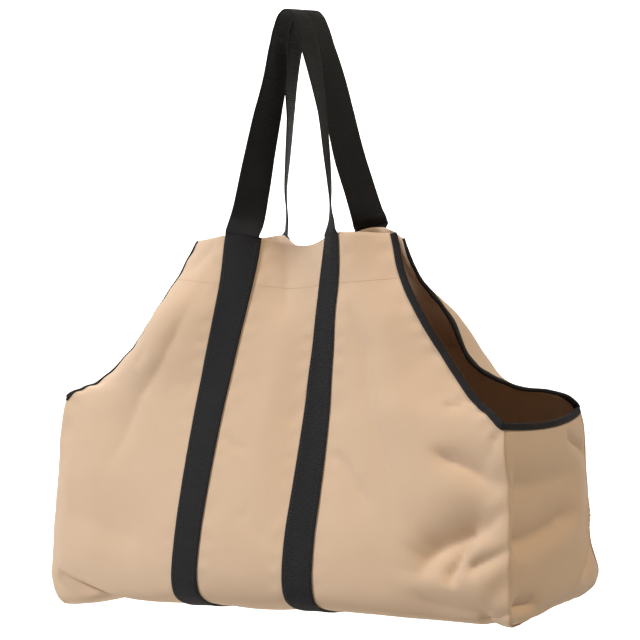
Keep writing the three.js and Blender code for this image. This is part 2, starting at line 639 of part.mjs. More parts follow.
function webbingStations(side) {
  const rowAt = (i) => (side < 0 ? i : 2 * ROWS_HALF - i);
  const firstStrap = side < 0 ? LEFT_STRAP : RIGHT_STRAP;
  const secondStrap = side < 0 ? RIGHT_STRAP : LEFT_STRAP;
  const order = (strap) => (side < 0 ? [strap - 1, strap, strap + 1] : [strap + 1, strap, strap - 1]);
  const shiftAt = (i) => new THREE.Vector3(0, i === ROWS_HALF ? (side * GAP) / 2 : 0, 0);
  const stations = [];
  for (let i = ROWS_HALF; i >= 0; i -= 1) {
    stations.push(sewnStation(rowAt(i), order(firstStrap), shiftAt(i)));
  }
  const topCentre = (strap, i) => {
    const row = rowAt(i);
    return moved(panelRows[row][strap], panelNormals[row][strap], CANVAS / 2 + GAP + WEBBING / 2);
  };
  const start = topCentre(firstStrap, 0);
  const finish = topCentre(secondStrap, 0);
  const fade = (z) => ((HANDLE_TOP - z) / (HANDLE_TOP - start.z)) ** 1.5;
  const topRise = side > 0 ? BACK_HANDLE_RISE : 0;
  const rise = (z) => (topRise * (z - start.z)) / (HANDLE_TOP - start.z);
  const lean = (z) => (LEVELS[0].inset / 2) * Math.max(0, (HANDLE_EVEN - z) / (HANDLE_EVEN - start.z));
  const leg = (row, endSide) => {
    if (side < 0) return endSide < 0 ? row.frontLeft : row.frontRight;
    return endSide < 0 ? row.backLeft : row.backRight;
  };
  const place = (row, endSide) => {
    const depth = row.y + side * endSide * lean(row.z);
    const [x] = leg(row, endSide);
    const point = new THREE.Vector3(endSide * x, side * depth, row.z + rise(row.z));
    point.applyAxisAngle(new THREE.Vector3(0, 0, 1), row.twist * RAD);
    point.x += hemShift(side) * fade(row.z);
    point.y += HEM_SHIFT_Y * fade(row.z);
    return point;
  };
  const points = [topCentre(firstStrap, 1), start];
  const angles = [LEVELS[0].turn + LEVELS[0].twist];
  for (const row of HANDLE) {
    points.push(place(row, side));
    angles.push(leg(row, side)[1]);
  }
  for (const row of HANDLE.slice(0, -1).reverse()) {
    points.push(place(row, -side));
    angles.push(leg(row, -side)[1]);
  }
  points.push(finish, topCentre(secondStrap, 1));
  angles.push(180 - LEVELS[0].turn + LEVELS[0].twist - (side > 0 ? BACK_TURN : 0));
  const curve = new THREE.CatmullRomCurve3(points, false, "centripetal");
  const spans = points.length - 1;
  for (let i = 1; i < HANDLE_STEPS; i += 1) {
    const along = 1 + ((spans - 2) * i) / HANDLE_STEPS;
    const k = Math.min(Math.floor(along) - 1, angles.length - 2);
    const f = along - 1 - k;
    const angle = (angles[k] + (angles[k + 1] - angles[k]) * f) * RAD;
    const tangent = curve.getTangent(along / spans);
    const slope = Math.tan(HANDLE_TILT * RAD);
    const across = new THREE.Vector3(Math.cos(angle), Math.sin(angle), slope).multiplyScalar(-side);
    across.addScaledVector(tangent, -across.dot(tangent)).normalize();
    const outward = new THREE.Vector3().crossVectors(across, tangent);
    stations.push(webbingStation(curve.getPoint(along / spans), across, outward));
  }
  const reversed = (strap) => order(strap).reverse();
  for (let i = 0; i <= ROWS_HALF; i += 1) {
    stations.push(sewnStation(rowAt(i), reversed(secondStrap), shiftAt(i)));
  }
  return stations;
}

function webbingSolid(stations) {
  const out = [];
  const count = stations[0].length;
  for (let s = 0; s < stations.length - 1; s += 1) {
    for (let i = 0; i < count; i += 1) {
      const j = (i + 1) % count;
      quad(out, stations[s][i], stations[s + 1][i], stations[s + 1][j], stations[s][j]);
    }
  }
  const first = stations[0];
  const last = stations[stations.length - 1];
  for (const [a, b, c, d] of [[0, 1, 4, 5], [1, 2, 3, 4]]) {
    quad(out, first[a], first[b], first[c], first[d]);
    quad(out, last[d], last[c], last[b], last[a]);
  }
  return geometryOf(out);
}

addPiece("front_webbing", webbingSolid(webbingStations(-1)), webbingLook());
addPiece("back_webbing", webbingSolid(webbingStations(1)), webbingLook());

const carrier = new THREE.Group();
carrier.add(bag);

export default carrier;
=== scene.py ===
"""Looks of an open-sided canvas log carrier, hanging empty from its two webbing handles."""
import math

import bpy
import numpy as np
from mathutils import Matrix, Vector, noise


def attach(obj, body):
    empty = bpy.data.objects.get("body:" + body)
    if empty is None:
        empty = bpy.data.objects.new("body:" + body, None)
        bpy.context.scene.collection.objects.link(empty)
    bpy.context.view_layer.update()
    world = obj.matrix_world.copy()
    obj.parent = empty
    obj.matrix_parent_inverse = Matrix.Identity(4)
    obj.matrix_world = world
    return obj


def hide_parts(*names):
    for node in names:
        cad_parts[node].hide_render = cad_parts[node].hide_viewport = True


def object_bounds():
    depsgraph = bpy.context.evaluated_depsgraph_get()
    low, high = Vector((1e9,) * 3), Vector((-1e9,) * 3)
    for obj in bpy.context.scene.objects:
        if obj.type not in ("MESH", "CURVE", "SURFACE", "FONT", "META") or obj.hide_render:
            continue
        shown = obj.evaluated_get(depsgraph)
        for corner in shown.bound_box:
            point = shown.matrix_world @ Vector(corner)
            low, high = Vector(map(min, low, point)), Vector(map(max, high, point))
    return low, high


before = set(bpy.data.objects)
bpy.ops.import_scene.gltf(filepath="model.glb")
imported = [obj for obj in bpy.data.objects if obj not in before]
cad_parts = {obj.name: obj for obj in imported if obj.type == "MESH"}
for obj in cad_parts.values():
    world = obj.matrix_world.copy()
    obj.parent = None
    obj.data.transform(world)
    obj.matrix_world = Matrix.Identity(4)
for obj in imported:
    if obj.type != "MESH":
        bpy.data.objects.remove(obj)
cad_box = [[float(v) for v in corner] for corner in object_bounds()]


# Main panel: one length of tan cotton canvas that is the front, the rounded base and the back.
# The webbing carries it, so it hangs in folds between the four sewn legs and the end seams.
# Its form comes from rows of sizes in millimetres, from the hem down to the middle line of the base.
HOLD_HEIGHT = 604.0
CANVAS = 1.5
WEBBING_WIDTH = 38.0
HEM = 52.0
LEVEL_COLUMNS = (
    "end_x end_y end_z drop front_roll back_in back_y back_low back_roll "
    "strap_x strap_y strap_z inset turn twist mid_y mid_z"
).split()
LEVELS = [
    (130, 14, 367, 10, 0.4, 4, 8, 6, 0.6, 56, 46, 366, 9, 34, -4, 11, 353),
    (152, 28, 325, 6, 1, 7, 6, 2, 1.5, 58, 51.5, 323, 11, 20, -8, 30, 320),
    (183, 40, 285, 7, 1.5, -1, 2, 3, 3.3, 60, 58.5, 284, 12.5, 19, -9, 44, 283),
    (216, 44, 243, 11, 1.2, 0.5, -2, 9, 4, 62, 66, 243, 17, 16, -9, 55, 243),
    (250, 55, 207, 12.5, 0.5, 4, 40, -1, 1.3, 64, 72, 208, 17, 12, -8, 63, 208),
    (270.5, 63, 195.5, 11.5, 0.3, 0, 68, -7, 0.6, 64.8, 75, 195, 18, 10.5, -8, 67, 195),
    (288, 71, 185, 10.5, 0.1, 0, 96.5, 0, 0, 65.5, 78.5, 182, 19, 9, -8, 71, 182),
    (294, 79, 122, 26, 0, 0, 107.5, 0, 0, 69, 94.5, 120, 15, 4, -6, 91, 120),
    (300, 84, 56, 44, 0, 0, 105, 0, 0, 72, 108.5, 55, 6.5, 0, -5, 109, 55),
    (302, 84, 8, 59, 0, 0, 103, 0, 0, 74.5, 112, 6, 2, -2, -4, 114, 4),
    (300, 74, -8, 64.5, 0, 0, 91, 0, 0, 75, 96, -16, 0, -2, -2, 99, -24),
    (297, 44, -11, 64.5, 0, 0, 54, 0, 0, 75, 54, -28, 0, 0, 0, 56, -40),
    (295, 0, -9.5, 64.5, 0, 0, 0, 0, 0, 75, 0, -32, 0, 0, 0, 0, -44),
]
LEVEL_TABLE = {name: [row[i] for row in LEVELS] for i, name in enumerate(LEVEL_COLUMNS)}
FRONT_HEM_SHIFT, BACK_HEM_SHIFT, HEM_SHIFT_Y = 8.5, 4.0, 5.0
LEFT_SWAY, FRONT_RIGHT_SWAY, BACK_RIGHT_SWAY = 9.0, -4.0, 1.0
LEFT_SWELL, LEFT_HEM_REACH, LEFT_TUCK = 6.5, 5.0, 11.0
BACK_HEM_RISE, BACK_HEM_DIP, BACK_TURN = 6.0, 7.0, 12.0
CORNER_EAR, EAR_HEIGHT, EAR_SPREAD = 7.0, 12.0, 24.0
# Heights between which these come or go: the shift of the hem, and the swell, reach and tuck of the left end.
SHIFT_HEIGHTS, SWELL_HEIGHTS, REACH_HEIGHTS, TUCK_HEIGHTS = (180, 360), (110, 215), (270, 345), (-74, -34)
SWAY_FOOT, SWAY_SPAN = 190, 165
SEAM_LEVEL, CORNER_LEVEL = 6, 10
ROWS_CUTOUT, ROWS_END, ROWS_BASE = 64, 60, 34
ROWS_HALF = ROWS_CUTOUT + ROWS_END + ROWS_BASE
CELLS_OUTER, CELLS_STRAP, CELLS_MIDDLE = 52, 4, 32
LEFT_STRAP = CELLS_OUTER
RIGHT_STRAP = CELLS_OUTER + CELLS_STRAP + CELLS_MIDDLE
LAST_COLUMN = 2 * (CELLS_OUTER + CELLS_STRAP) + CELLS_MIDDLE
# Beside the end seams the columns of the grid stand closer together by this share.
SEAM_CROWDING = 0.35

# Folds of the hanging cloth. Each runs along a line of places (across, height) and sinks by depth.
# steep and gentle are the widths of its two slopes, with two numbers at its beginning and its end.
# start is how deep it already is where it begins.
FRONT_FOLDS = [
    dict(line=((296, 98), (275, 84), (256, 75), (240, 66), (227, 58), (219, 49), (214, 38), (214, 22)),
         depth=19, steep=(38, 12), gentle=(8, 14), start=0.75),
    dict(line=((298, 66), (281, 56), (263, 46), (252, 37)),
         depth=12, steep=(13, 6), gentle=(5, 8), start=0.85),
    dict(line=((260, 70), (252, 53), (246, 39), (244, 24)),
         depth=13, steep=(11, 8), gentle=(4, 5), start=0.6),
    dict(line=((294, 128), (277, 132), (255, 140), (229, 147), (203, 158)),
         depth=11, steep=(20, 5), gentle=(13, 6), start=0.85),
    dict(line=((290, 182), (281, 174), (272, 166)), depth=6.5, steep=5, gentle=5, start=0.95),
    dict(line=((240, 200), (227, 198), (214, 199)), depth=3, steep=(6, 3), gentle=(6, 4), start=0.2),
    dict(line=((300, 4), (274, 4), (232, 7), (190, 16)), depth=5, steep=12, gentle=10, start=0.6),
    dict(line=((301, 6), (288, -2), (268, -8)), depth=8, steep=6, gentle=7, start=0.9),
    dict(line=((84, 318), (118, 250), (141, 185), (172, 120), (190, 68)),
         depth=3.6, steep=(10, 14), gentle=(8, 6), start=0.3),
    dict(line=((86, 144), (107, 136), (142, 100), (157, 84)),
         depth=3, steep=(3, 10), gentle=(5, 8), start=0.9),
    dict(line=((130, 300), (170, 190), (214, 120)), depth=-3, steep=24, gentle=24, start=0.3),
    dict(line=((-90, 308), (-104, 283), (-118, 250), (-138, 217), (-168, 184), (-191, 130), (-210, 101),
               (-228, 74)),
         depth=3.8, steep=12, gentle=12, start=0.3),
    dict(line=((-84, 356), (-111, 335), (-127, 319)), depth=4, steep=8, gentle=12, start=0.4),
    dict(line=((-160, 234), (-178, 216)), depth=2, steep=5, gentle=6, start=0.7),
    dict(line=((-250, 180), (-240, 150), (-250, 110)), depth=-2, steep=22, gentle=22, start=0.3),
    dict(line=((-298, 40), (-215, 32), (-110, 22)), depth=3, steep=20, gentle=34, start=0.5),
    dict(line=((-284, -36), (-250, -46), (-206, -58), (-150, -66), (-100, -66)),
         depth=15, steep=(8, 14), gentle=8, start=0.6),
    dict(line=((-14, 76), (8, 62), (40, 42)), depth=2, steep=8, gentle=14, start=0.0),
    dict(line=((-10, 356), (0, 320), (12, 262)), depth=2, steep=9, gentle=16, start=1.0),
    dict(line=((-48, 147), (-26, 138), (-4, 136)), depth=2, steep=3, gentle=6, start=0.9),
]
BACK_FOLDS = [
    dict(line=((-303, 92), (-250, 66), (-208, 20), (-196, -10)), depth=13, steep=9, gentle=24, start=0.7),
    dict(line=((-303, 50), (-262, 26), (-236, -6)), depth=9, steep=8, gentle=15, start=0.7),
    dict(line=((-206, 150), (-244, 140), (-284, 132)), depth=4.5, steep=6, gentle=15, start=0.0),
    dict(line=((104, 292), (150, 224), (190, 140), (236, 100)), depth=9, steep=15, gentle=26, start=0.5),
    dict(line=((-96, 300), (-126, 190), (-160, 80)), depth=4.5, steep=11, gentle=15, start=0.3),
    dict(line=((298, 70), (220, 56), (118, 50)), depth=6, steep=18, gentle=30, start=0.5),
    dict(line=((300, 6), (230, -14), (120, -22)), depth=10, steep=7, gentle=15, start=0.9),
    dict(line=((6, 360), (-4, 320), (-10, 262)), depth=6, steep=9, gentle=16, start=1.0),
    dict(line=((88, 170), (110, 140), (146, 110)), depth=3.5, steep=6, gentle=12, start=0.8),
]


def smooth(value, low, high):
    """Eased step from 0 at low to 1 at high."""
    f = np.clip((np.asarray(value, float) - low) / (high - low), 0, 1)
    return f * f * (3 - 2 * f)


def hermite_span(a, slope_a, b, slope_b, f):
    """Cubic from a to b with the given end slopes."""
    f2, f3 = f * f, f * f * f
    from_a = a * (2 * f3 - 3 * f2 + 1) + slope_a * (f3 - 2 * f2 + f)
    return from_a + b * (3 * f2 - 2 * f3) + slope_b * (f3 - f2)


def level(name, place, cornered=False):
    """Value of a column of the level table at a place between its rows.

    A cornered column has a corner at the top of the end seam.
    """
    column = LEVEL_TABLE[name]
    last = len(column) - 1
    i = min(int(place), last - 1)
    a, b = column[i], column[i + 1]
    before = column[i - 1] if i > 0 else 2 * column[0] - column[1]
    after = column[i + 2] if i + 2 <= last else (-1 if name.endswith("_y") else 1) * column[last - 1]
    slope_a = b - a if cornered and i == SEAM_LEVEL else (b - before) / 2
    slope_b = b - a if cornered and i + 1 == SEAM_LEVEL else (after - a) / 2
    return hermite_span(a, slope_a, b, slope_b, place - i)


def through(knots, slopes, xs):
    """Smooth curve through knots; a slope that is None comes from the neighbouring knots."""
    last = len(knots) - 1
    kx, kv = np.array(knots, float).T
    tangents = []
    for i, slope in enumerate(slopes):
        a, b = max(i - 1, 0), min(i + 1, last)
        tangents.append((kv[b] - kv[a]) / (kx[b] - kx[a]) if slope is None else slope)
    tangents = np.array(tangents)
    i = np.clip(np.searchsorted(kx, xs) - 1, 0, last - 1)
    h = kx[i + 1] - kx[i]
    return hermite_span(kv[i], tangents[i] * h, kv[i + 1], tangents[i + 1] * h, (xs - kx[i]) / h)


def place_of_row(row):
    """Place in the level table of a row of the panel, counted from a hem."""
    if row <= ROWS_CUTOUT:
        return SEAM_LEVEL * row / ROWS_CUTOUT
    if row <= ROWS_CUTOUT + ROWS_END:
        return SEAM_LEVEL + (CORNER_LEVEL - SEAM_LEVEL) * (row - ROWS_CUTOUT) / ROWS_END
    return CORNER_LEVEL + (len(LEVELS) - 1 - CORNER_LEVEL) * (row - ROWS_CUTOUT - ROWS_END) / ROWS_BASE


def panel_row(place, side):
    """Points of one row across the panel, left to right. side is -1 for the front and 1 for the back."""
    back = side > 0
    at = {name: level(name, place, not back and name in ("end_x", "end_z")) for name in LEVEL_COLUMNS}
    strap_x = at["strap_x"]
    end_x = at["end_x"] - (at["back_in"] if back else 0)
    end_y = at["back_y"] if back else at["end_y"]
    end_z = at["end_z"] - (at["back_low"] if back else 0)
    extra = BACK_TURN * max(0, 1 - place) if back else 0
    left_turn = math.radians(at["twist"] - side * at["turn"] - extra)
    right_turn = math.radians(at["twist"] + side * at["turn"])
    left_y = at["strap_y"] - (at["inset"] if back else 0)
    right_y = at["strap_y"] - (0 if back else at["inset"])
    left_roll = at["back_roll"] if back else (left_y - end_y) / (end_x - strap_x) + at["front_roll"]
    right_roll = -at["back_roll"] if back else None
    rise = max(0, 1 - place / 2) if back else 0
    depths = [(-end_x, end_y), (-strap_x, left_y), (0, at["mid_y"]), (strap_x, right_y), (end_x, end_y)]
    slopes = [left_roll, side * math.tan(left_turn), None, side * math.tan(right_turn), right_roll]
    heights = [
        (-end_x, end_z - at["drop"]),
        (-strap_x, at["strap_z"] - 0.25 * at["drop"]),
        (0, at["mid_z"] - BACK_HEM_DIP * rise),
        (strap_x, at["strap_z"] + BACK_HEM_RISE * rise),
        (end_x, end_z),
    ]
    half_left = WEBBING_WIDTH / 2 * math.cos(left_turn)
    half_right = WEBBING_WIDTH / 2 * math.cos(right_turn)
    spread = np.linspace(0, 1, CELLS_OUTER + 1)
    spread = spread * (1 + SEAM_CROWDING - SEAM_CROWDING * spread)
    x = np.concatenate([
        -strap_x - half_left - (end_x - strap_x - half_left) * spread[::-1],
        np.linspace(-strap_x - half_left, -strap_x + half_left, CELLS_STRAP + 1)[1:],
        np.linspace(-strap_x + half_left, strap_x - half_right, CELLS_MIDDLE + 1)[1:],
        np.linspace(strap_x - half_right, strap_x + half_right, CELLS_STRAP + 1)[1:],
        (strap_x + half_right + (end_x - strap_x - half_right) * spread)[1:],
    ])
    z = through(heights, [None] * 5, x)
    outward = through(depths, slopes, x)
    to_end = (x / end_x) ** 2
    lift = smooth(z, *SHIFT_HEIGHTS) * (1 - to_end)
    right_sway = BACK_RIGHT_SWAY if back else FRONT_RIGHT_SWAY
    sway = np.where(x < 0, LEFT_SWAY, right_sway) * np.sin(np.pi * np.clip((z - SWAY_FOOT) / SWAY_SPAN, 0, 1))
    swell = np.where(x < 0, LEFT_SWELL, 0) * (1 - smooth(z, *SWELL_HEIGHTS))
    reach = np.where(x < 0, LEFT_HEM_REACH, 0) * smooth(z, *REACH_HEIGHTS)
    tuck = np.where(x < 0, LEFT_TUCK, 0) * (1 - smooth(z, *TUCK_HEIGHTS))
    ear = CORNER_EAR * to_end ** 4 * smooth(outward, 60, 100) * np.exp(-((z - EAR_HEIGHT) / EAR_SPREAD) ** 2)
    ear = np.where(x > 0, ear, 0) if back else 0
    shift = BACK_HEM_SHIFT if back else FRONT_HEM_SHIFT
    return np.stack([
        x + shift * lift + (sway - swell - reach + tuck) * to_end + 0.7 * ear,
        side * (outward + ear) + HEM_SHIFT_Y * lift,
        z,
    ], axis=1)


def grid_normals(grid, sign):
    """Unit normals of a grid of points, on the chosen side of the cloth."""
    n = np.cross(np.gradient(grid, axis=1), np.gradient(grid, axis=0)) * sign
    return n / np.linalg.norm(n, axis=2, keepdims=True)


def fold_depths(folds, u, z):
    """How far each place (u, z) of a cloth sinks in the given folds."""
    total = np.zeros_like(u)
    for fold in folds:
        line = np.array(fold["line"], float)
        spans = np.linalg.norm(np.diff(line, axis=0), axis=1)
        starts = np.concatenate([[0], np.cumsum(spans)])
        best = np.full(u.shape, 1e9)
        off = np.zeros_like(u)
        run = np.zeros_like(u)
        for i, span in enumerate(spans):
            du, dz = (line[i + 1] - line[i]) / span
            along = (u - line[i, 0]) * du + (z - line[i, 1]) * dz
            inside = np.clip(along, 0, span)
            away = np.hypot(u - line[i, 0] - inside * du, z - line[i, 1] - inside * dz)
            nearer = away < best
            best = np.where(nearer, away, best)
            side = np.sign((u - line[i, 0]) * dz - (z - line[i, 1]) * du)
            off = np.where(nearer, away * side, off)
            run = np.where(nearer, starts[i] + inside, run)
        f = run / starts[-1]
        opening = fold["start"] + (1 - fold["start"]) * smooth(f, 0, 0.25)
        fade = np.where(f < 0.25, opening, 1 - smooth(f, 0.65, 1))
        steep, gentle = (np.interp(f, (0, 1), np.broadcast_to(fold[k], 2)) for k in ("steep", "gentle"))
        total += fold["depth"] * fade * np.exp(-np.abs(off / np.where(off > 0, steep, gentle)) ** 1.4)
    return total


def runs(grid, axis):
    """Lengths along the rows (axis 1) or columns (axis 0) of a grid, from its first point."""
    steps = np.linalg.norm(np.diff(grid, axis=axis), axis=2)
    zero = np.zeros((len(grid), 1)) if axis else np.zeros((1, grid.shape[1]))
    return np.concatenate([zero, np.cumsum(steps, axis=axis)], axis=axis)


def fine_wrinkles(u, v):
    """Faint unevenness of worn cotton at each place of a cloth, in swells about 50 and 20 mm across."""
    heights = []
    for a, b in zip(u.ravel(), v.ravel()):
        broad = noise.noise((a / 52, b / 44, 3.1))
        narrow = noise.noise((a / 21, b / 18, 7.7))
        heights.append(0.5 * broad + 0.2 * narrow)
    return np.array(heights).reshape(u.shape)


rows = []
for row in range(2 * ROWS_HALF + 1):
    side = -1 if row <= ROWS_HALF else 1
    own = row if row <= ROWS_HALF else 2 * ROWS_HALF - row
    rows.append(panel_row(place_of_row(own), side))
panel = np.array(rows)
along = runs(panel, 1)
to_edge = np.minimum(along, along[:, -1:] - along)
row_numbers = np.arange(2 * ROWS_HALF + 1)[:, None]
from_hem = np.minimum(row_numbers, row_numbers[::-1])

# The corner of the edges at the top of the end seams runs out smoothly across the cloth.
EASING_ROUNDS = 80
near_seam_top = (1 - smooth(np.abs(from_hem - ROWS_CUTOUT), 14, 28)) * smooth(to_edge, 6, 40)
for _ in range(EASING_ROUNDS):
    eased = panel.copy()
    eased[1:-1] = (panel[:-2] + 2 * panel[1:-1] + panel[2:]) / 4
    panel = panel + (eased - panel) * near_seam_top[..., None]
panel_normals = grid_normals(panel, -1)
along, down = runs(panel, 1), runs(panel, 0)
to_strap = np.full_like(along, 1e9)
for strap in (LEFT_STRAP, RIGHT_STRAP):
    away = np.maximum(along[:, [strap]] - along, along - along[:, [strap + CELLS_STRAP]])
    to_strap = np.minimum(to_strap, np.maximum(away, 0))

# Folds die out over these widths beside the webbing and the end seams.
# At the seams a share of their depth stays.
WEBBING_CALM, SEAM_CALM, SEAM_SHARE = 22, 34, 0.3
sunk = np.where(
    row_numbers <= ROWS_HALF,
    fold_depths(FRONT_FOLDS, panel[..., 0], panel[..., 2]),
    fold_depths(BACK_FOLDS, panel[..., 0], panel[..., 2]),
)
free = smooth(to_strap, 0, WEBBING_CALM)
sunk = sunk * free * (SEAM_SHARE + (1 - SEAM_SHARE) * smooth(to_edge, 0, SEAM_CALM))

# The walls stand out and roll in towards the end seams, and sewing draws the cloth together:
# small puckers stand beside the seams, the bound edges and the webbing, and the hem is doubled.
WALL_ROLL, ROLL_WIDTH, WALL_SWELL = 5.0, 12, 6.0
PUCKER_LENGTH, PUCKER_CHANGE = 27, 117
SEAM_PUCKER, WEBBING_PUCKER, HEM_STEP = 0.8, 0.6, 0.25
wall = smooth(from_hem, ROWS_CUTOUT + 4, ROWS_CUTOUT + 18)
wall = wall * (1 - smooth(from_hem, ROWS_CUTOUT + 34, ROWS_CUTOUT + ROWS_END - 8))
sunk = sunk + WALL_ROLL * wall * np.exp(-to_edge / ROLL_WIDTH)
sunk = sunk - WALL_SWELL * wall * smooth(to_edge, 0, 32) * (1 - smooth(to_edge, 50, 150))
uneven = 1.7 * np.sin(2 * np.pi * down / PUCKER_CHANGE)
ripple = np.sin(2 * np.pi * down / PUCKER_LENGTH + uneven + along / 60)
pucker = SEAM_PUCKER * np.exp(-((to_edge - 12) / 11) ** 2)
pucker = pucker + WEBBING_PUCKER * np.exp(-((to_strap - 8) / 7) ** 2)
hem_run = np.minimum(down, down[-1:] - down)
doubled = 1 - smooth(hem_run, HEM - 5, HEM + 5)
raised = (ripple * pucker + fine_wrinkles(along, down)) * smooth(to_strap, 0, 8) + HEM_STEP * doubled
panel = panel + panel_normals * (raised - sunk)[..., None]
panel_normals = grid_normals(panel, -1)


def to_part(points):
    """Millimetres over the base, as in the tables, to metres from the point where the handles are held."""
    return (np.asarray(points, float) - np.array([0, 0, HOLD_HEIGHT])) / 1000


def mesh_object(name, points, faces, uvs=None):
    """A smooth-shaded mesh object in the part's frame, with an optional flat map in metres."""
    mesh = bpy.data.meshes.new(name)
    mesh.from_pydata(to_part(points).tolist(), [], faces)
    if uvs is not None:
        layer = mesh.uv_layers.new(name="cut")
        flat = np.asarray(uvs, float)[[v for face in faces for v in face]] / 1000
        layer.data.foreach_set("uv", flat.ravel())
    mesh.polygons.foreach_set("use_smooth", [True] * len(mesh.polygons))
    mesh.update()
    obj = bpy.data.objects.new(name, mesh)
    bpy.context.scene.collection.objects.link(obj)
    return obj


def flat_map(grid):
    """Where each point of a grid lay in the flat cut: lengths along its row and its middle column."""
    u = runs(grid, 1)
    v = runs(grid, 0)
    middle = grid.shape[1] // 2
    return np.stack([u - u[:, [middle]], v[:, [middle]].repeat(grid.shape[1], axis=1)], axis=2)


def cloth_object(name, grid, normals, thickness, flip, material):
    """A cloth with thickness and rounded edges: outer face, inner face and a rim loop between them."""
    rows, cols = grid.shape[:2]
    thickness = np.broadcast_to(thickness, (rows, cols))[..., None]
    outer = grid + normals * CANVAS / 2
    inner = outer - normals * thickness
    ring = [(r, 0) for r in range(rows)] + [(rows - 1, c) for c in range(1, cols)]
    ring += [(r, cols - 1) for r in range(rows - 2, -1, -1)] + [(0, c) for c in range(cols - 2, 0, -1)]
    rim = []
    for r, c in ring:
        inward = grid[min(max(r, 1), rows - 2), min(max(c, 1), cols - 2)] - grid[r, c]
        inward /= np.linalg.norm(inward)
        rim.append((outer[r, c] + inner[r, c]) / 2 - inward * 0.4 * thickness[r, c])
    points = np.concatenate([outer.reshape(-1, 3), inner.reshape(-1, 3), np.array(rim)])
    count = rows * cols
    faces = []
    for r in range(rows - 1):
        for c in range(cols - 1):
            a, b, d, e = r * cols + c, r * cols + c + 1, (r + 1) * cols + c + 1, (r + 1) * cols + c
            faces.append((a, e, d, b))
            faces.append((count + a, count + b, count + d, count + e))
    for i in range(len(ring)):
        j = (i + 1) % len(ring)
        a = ring[i][0] * cols + ring[i][1]
        b = ring[j][0] * cols + ring[j][1]
        faces.append((a, 2 * count + i, 2 * count + j, b))
        faces.append((count + b, 2 * count + j, 2 * count + i, count + a))
    if flip:
        faces = [face[::-1] for face in faces]
    uv = flat_map(grid)
    uv = np.concatenate([uv.reshape(-1, 2), uv.reshape(-1, 2), np.array([uv[r, c] for r, c in ring])])
    obj = mesh_object(name, points, faces, uv)
    obj.data.materials.append(material)
    return obj


def linear(code):
    """Linear colour of a hex sRGB code."""
    parts = [int(code[i:i + 2], 16) / 255 for i in (1, 3, 5)]
    return tuple(v / 12.92 if v <= 0.04045 else ((v + 0.055) / 1.055) ** 2.4 for v in parts) + (1.0,)


def add(tree, kind, settings=None, links=None):
    """Adds a node with its settings and input values, linked from other nodes' outputs."""
    node = tree.nodes.new(kind)
    for key, value in (settings or {}).items():
        setattr(node, key, value)
    for key, value in (links or {}).items():
        socket = node.inputs[key]
        if isinstance(value, bpy.types.NodeSocket):
            tree.links.new(value, socket)
        else:
            socket.default_value = value
    return node


def canvas_material(name, light, dark):
    """Plain-weave cotton duck: a matt cloth with crossing threads, thicker slubs and faint uneven dye."""
    material = bpy.data.materials.new(name)
    material.use_nodes = True
    tree = material.node_tree
    shader = tree.nodes["Principled BSDF"]
    place = add(tree, "ShaderNodeUVMap", {"uv_map": "cut"}).outputs["UV"]
    axes = add(tree, "ShaderNodeSeparateXYZ", links={"Vector": place})
    # Threads 0.9 mm apart, about twice the real spacing, so that the weave still shows.
    thread = 0.0009
    waves = []
    for axis in "XY":
        turn = add(
            tree, "ShaderNodeMath", {"operation": "MULTIPLY"},
            {0: axes.outputs[axis], 1: 2 * math.pi / thread},
        )
        waves.append(add(tree, "ShaderNodeMath", {"operation": "SINE"}, {0: turn.outputs[0]}).outputs[0])
    weave = add(tree, "ShaderNodeMath", {"operation": "MULTIPLY"}, {0: waves[0], 1: waves[1]}).outputs[0]
    # Slubs are about 4 mm long and half a millimetre thick, along both directions of the cloth.
    slubs = []
    for scale in ((260.0, 2200.0, 1.0), (2200.0, 260.0, 1.0)):
        stretch = add(tree, "ShaderNodeMapping", links={"Vector": place, "Scale": scale}).outputs[0]
        spots = add(tree, "ShaderNodeTexNoise", links={"Vector": stretch, "Scale": 1.0, "Detail": 2.0})
        slubs.append(spots.outputs[0])
    slub = add(tree, "ShaderNodeMath", {"operation": "ADD"}, {0: slubs[0], 1: slubs[1]}).outputs[0]
    # Uneven dye and handling marks, about 4 cm across.
    mottle = add(tree, "ShaderNodeTexNoise", links={"Vector": place, "Scale": 26.0, "Detail": 4.0}).outputs[0]
    summed = {"operation": "MULTIPLY_ADD"}
    limited = {"operation": "MULTIPLY_ADD", "use_clamp": True}
    shade = add(tree, "ShaderNodeMath", summed, {0: slub, 1: 0.3, 2: 0.12}).outputs[0]
    shade = add(tree, "ShaderNodeMath", summed, {0: mottle, 1: 0.4, 2: shade}).outputs[0]
    shade = add(tree, "ShaderNodeMath", limited, {0: weave, 1: 0.08, 2: shade}).outputs[0]
    colour = add(tree, "ShaderNodeMix", {"data_type": "RGBA"}, {"Factor": shade})
    colour.inputs[6].default_value = linear(dark)
    colour.inputs[7].default_value = linear(light)
    tree.links.new(colour.outputs[2], shader.inputs["Base Color"])
    grain = add(tree, "ShaderNodeMath", summed, {0: weave, 1: 0.5, 2: slub}).outputs[0]
    bump = add(tree, "ShaderNodeBump", links={"Height": grain, "Strength": 0.35, "Distance": 0.00025})
    tree.links.new(bump.outputs["Normal"], shader.inputs["Normal"])
    rough = add(tree, "ShaderNodeMath", summed, {0: mottle, 1: 0.12, 2: 0.82}).outputs[0]
    tree.links.new(rough, shader.inputs["Roughness"])
    shader.inputs["Specular IOR Level"].default_value = 0.4
    shader.inputs["Sheen Weight"].default_value = 0.12
    shader.inputs["Sheen Roughness"].default_value = 0.6
    return material


canvas = canvas_material("cotton_canvas", "#DBC0A8", "#C9AE92")
panel_thickness = CANVAS * (1 + doubled)
main_panel = cloth_object("main_panel_cloth", panel, panel_normals, panel_thickness, False, canvas)
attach(main_panel, "root")
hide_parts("main_panel")


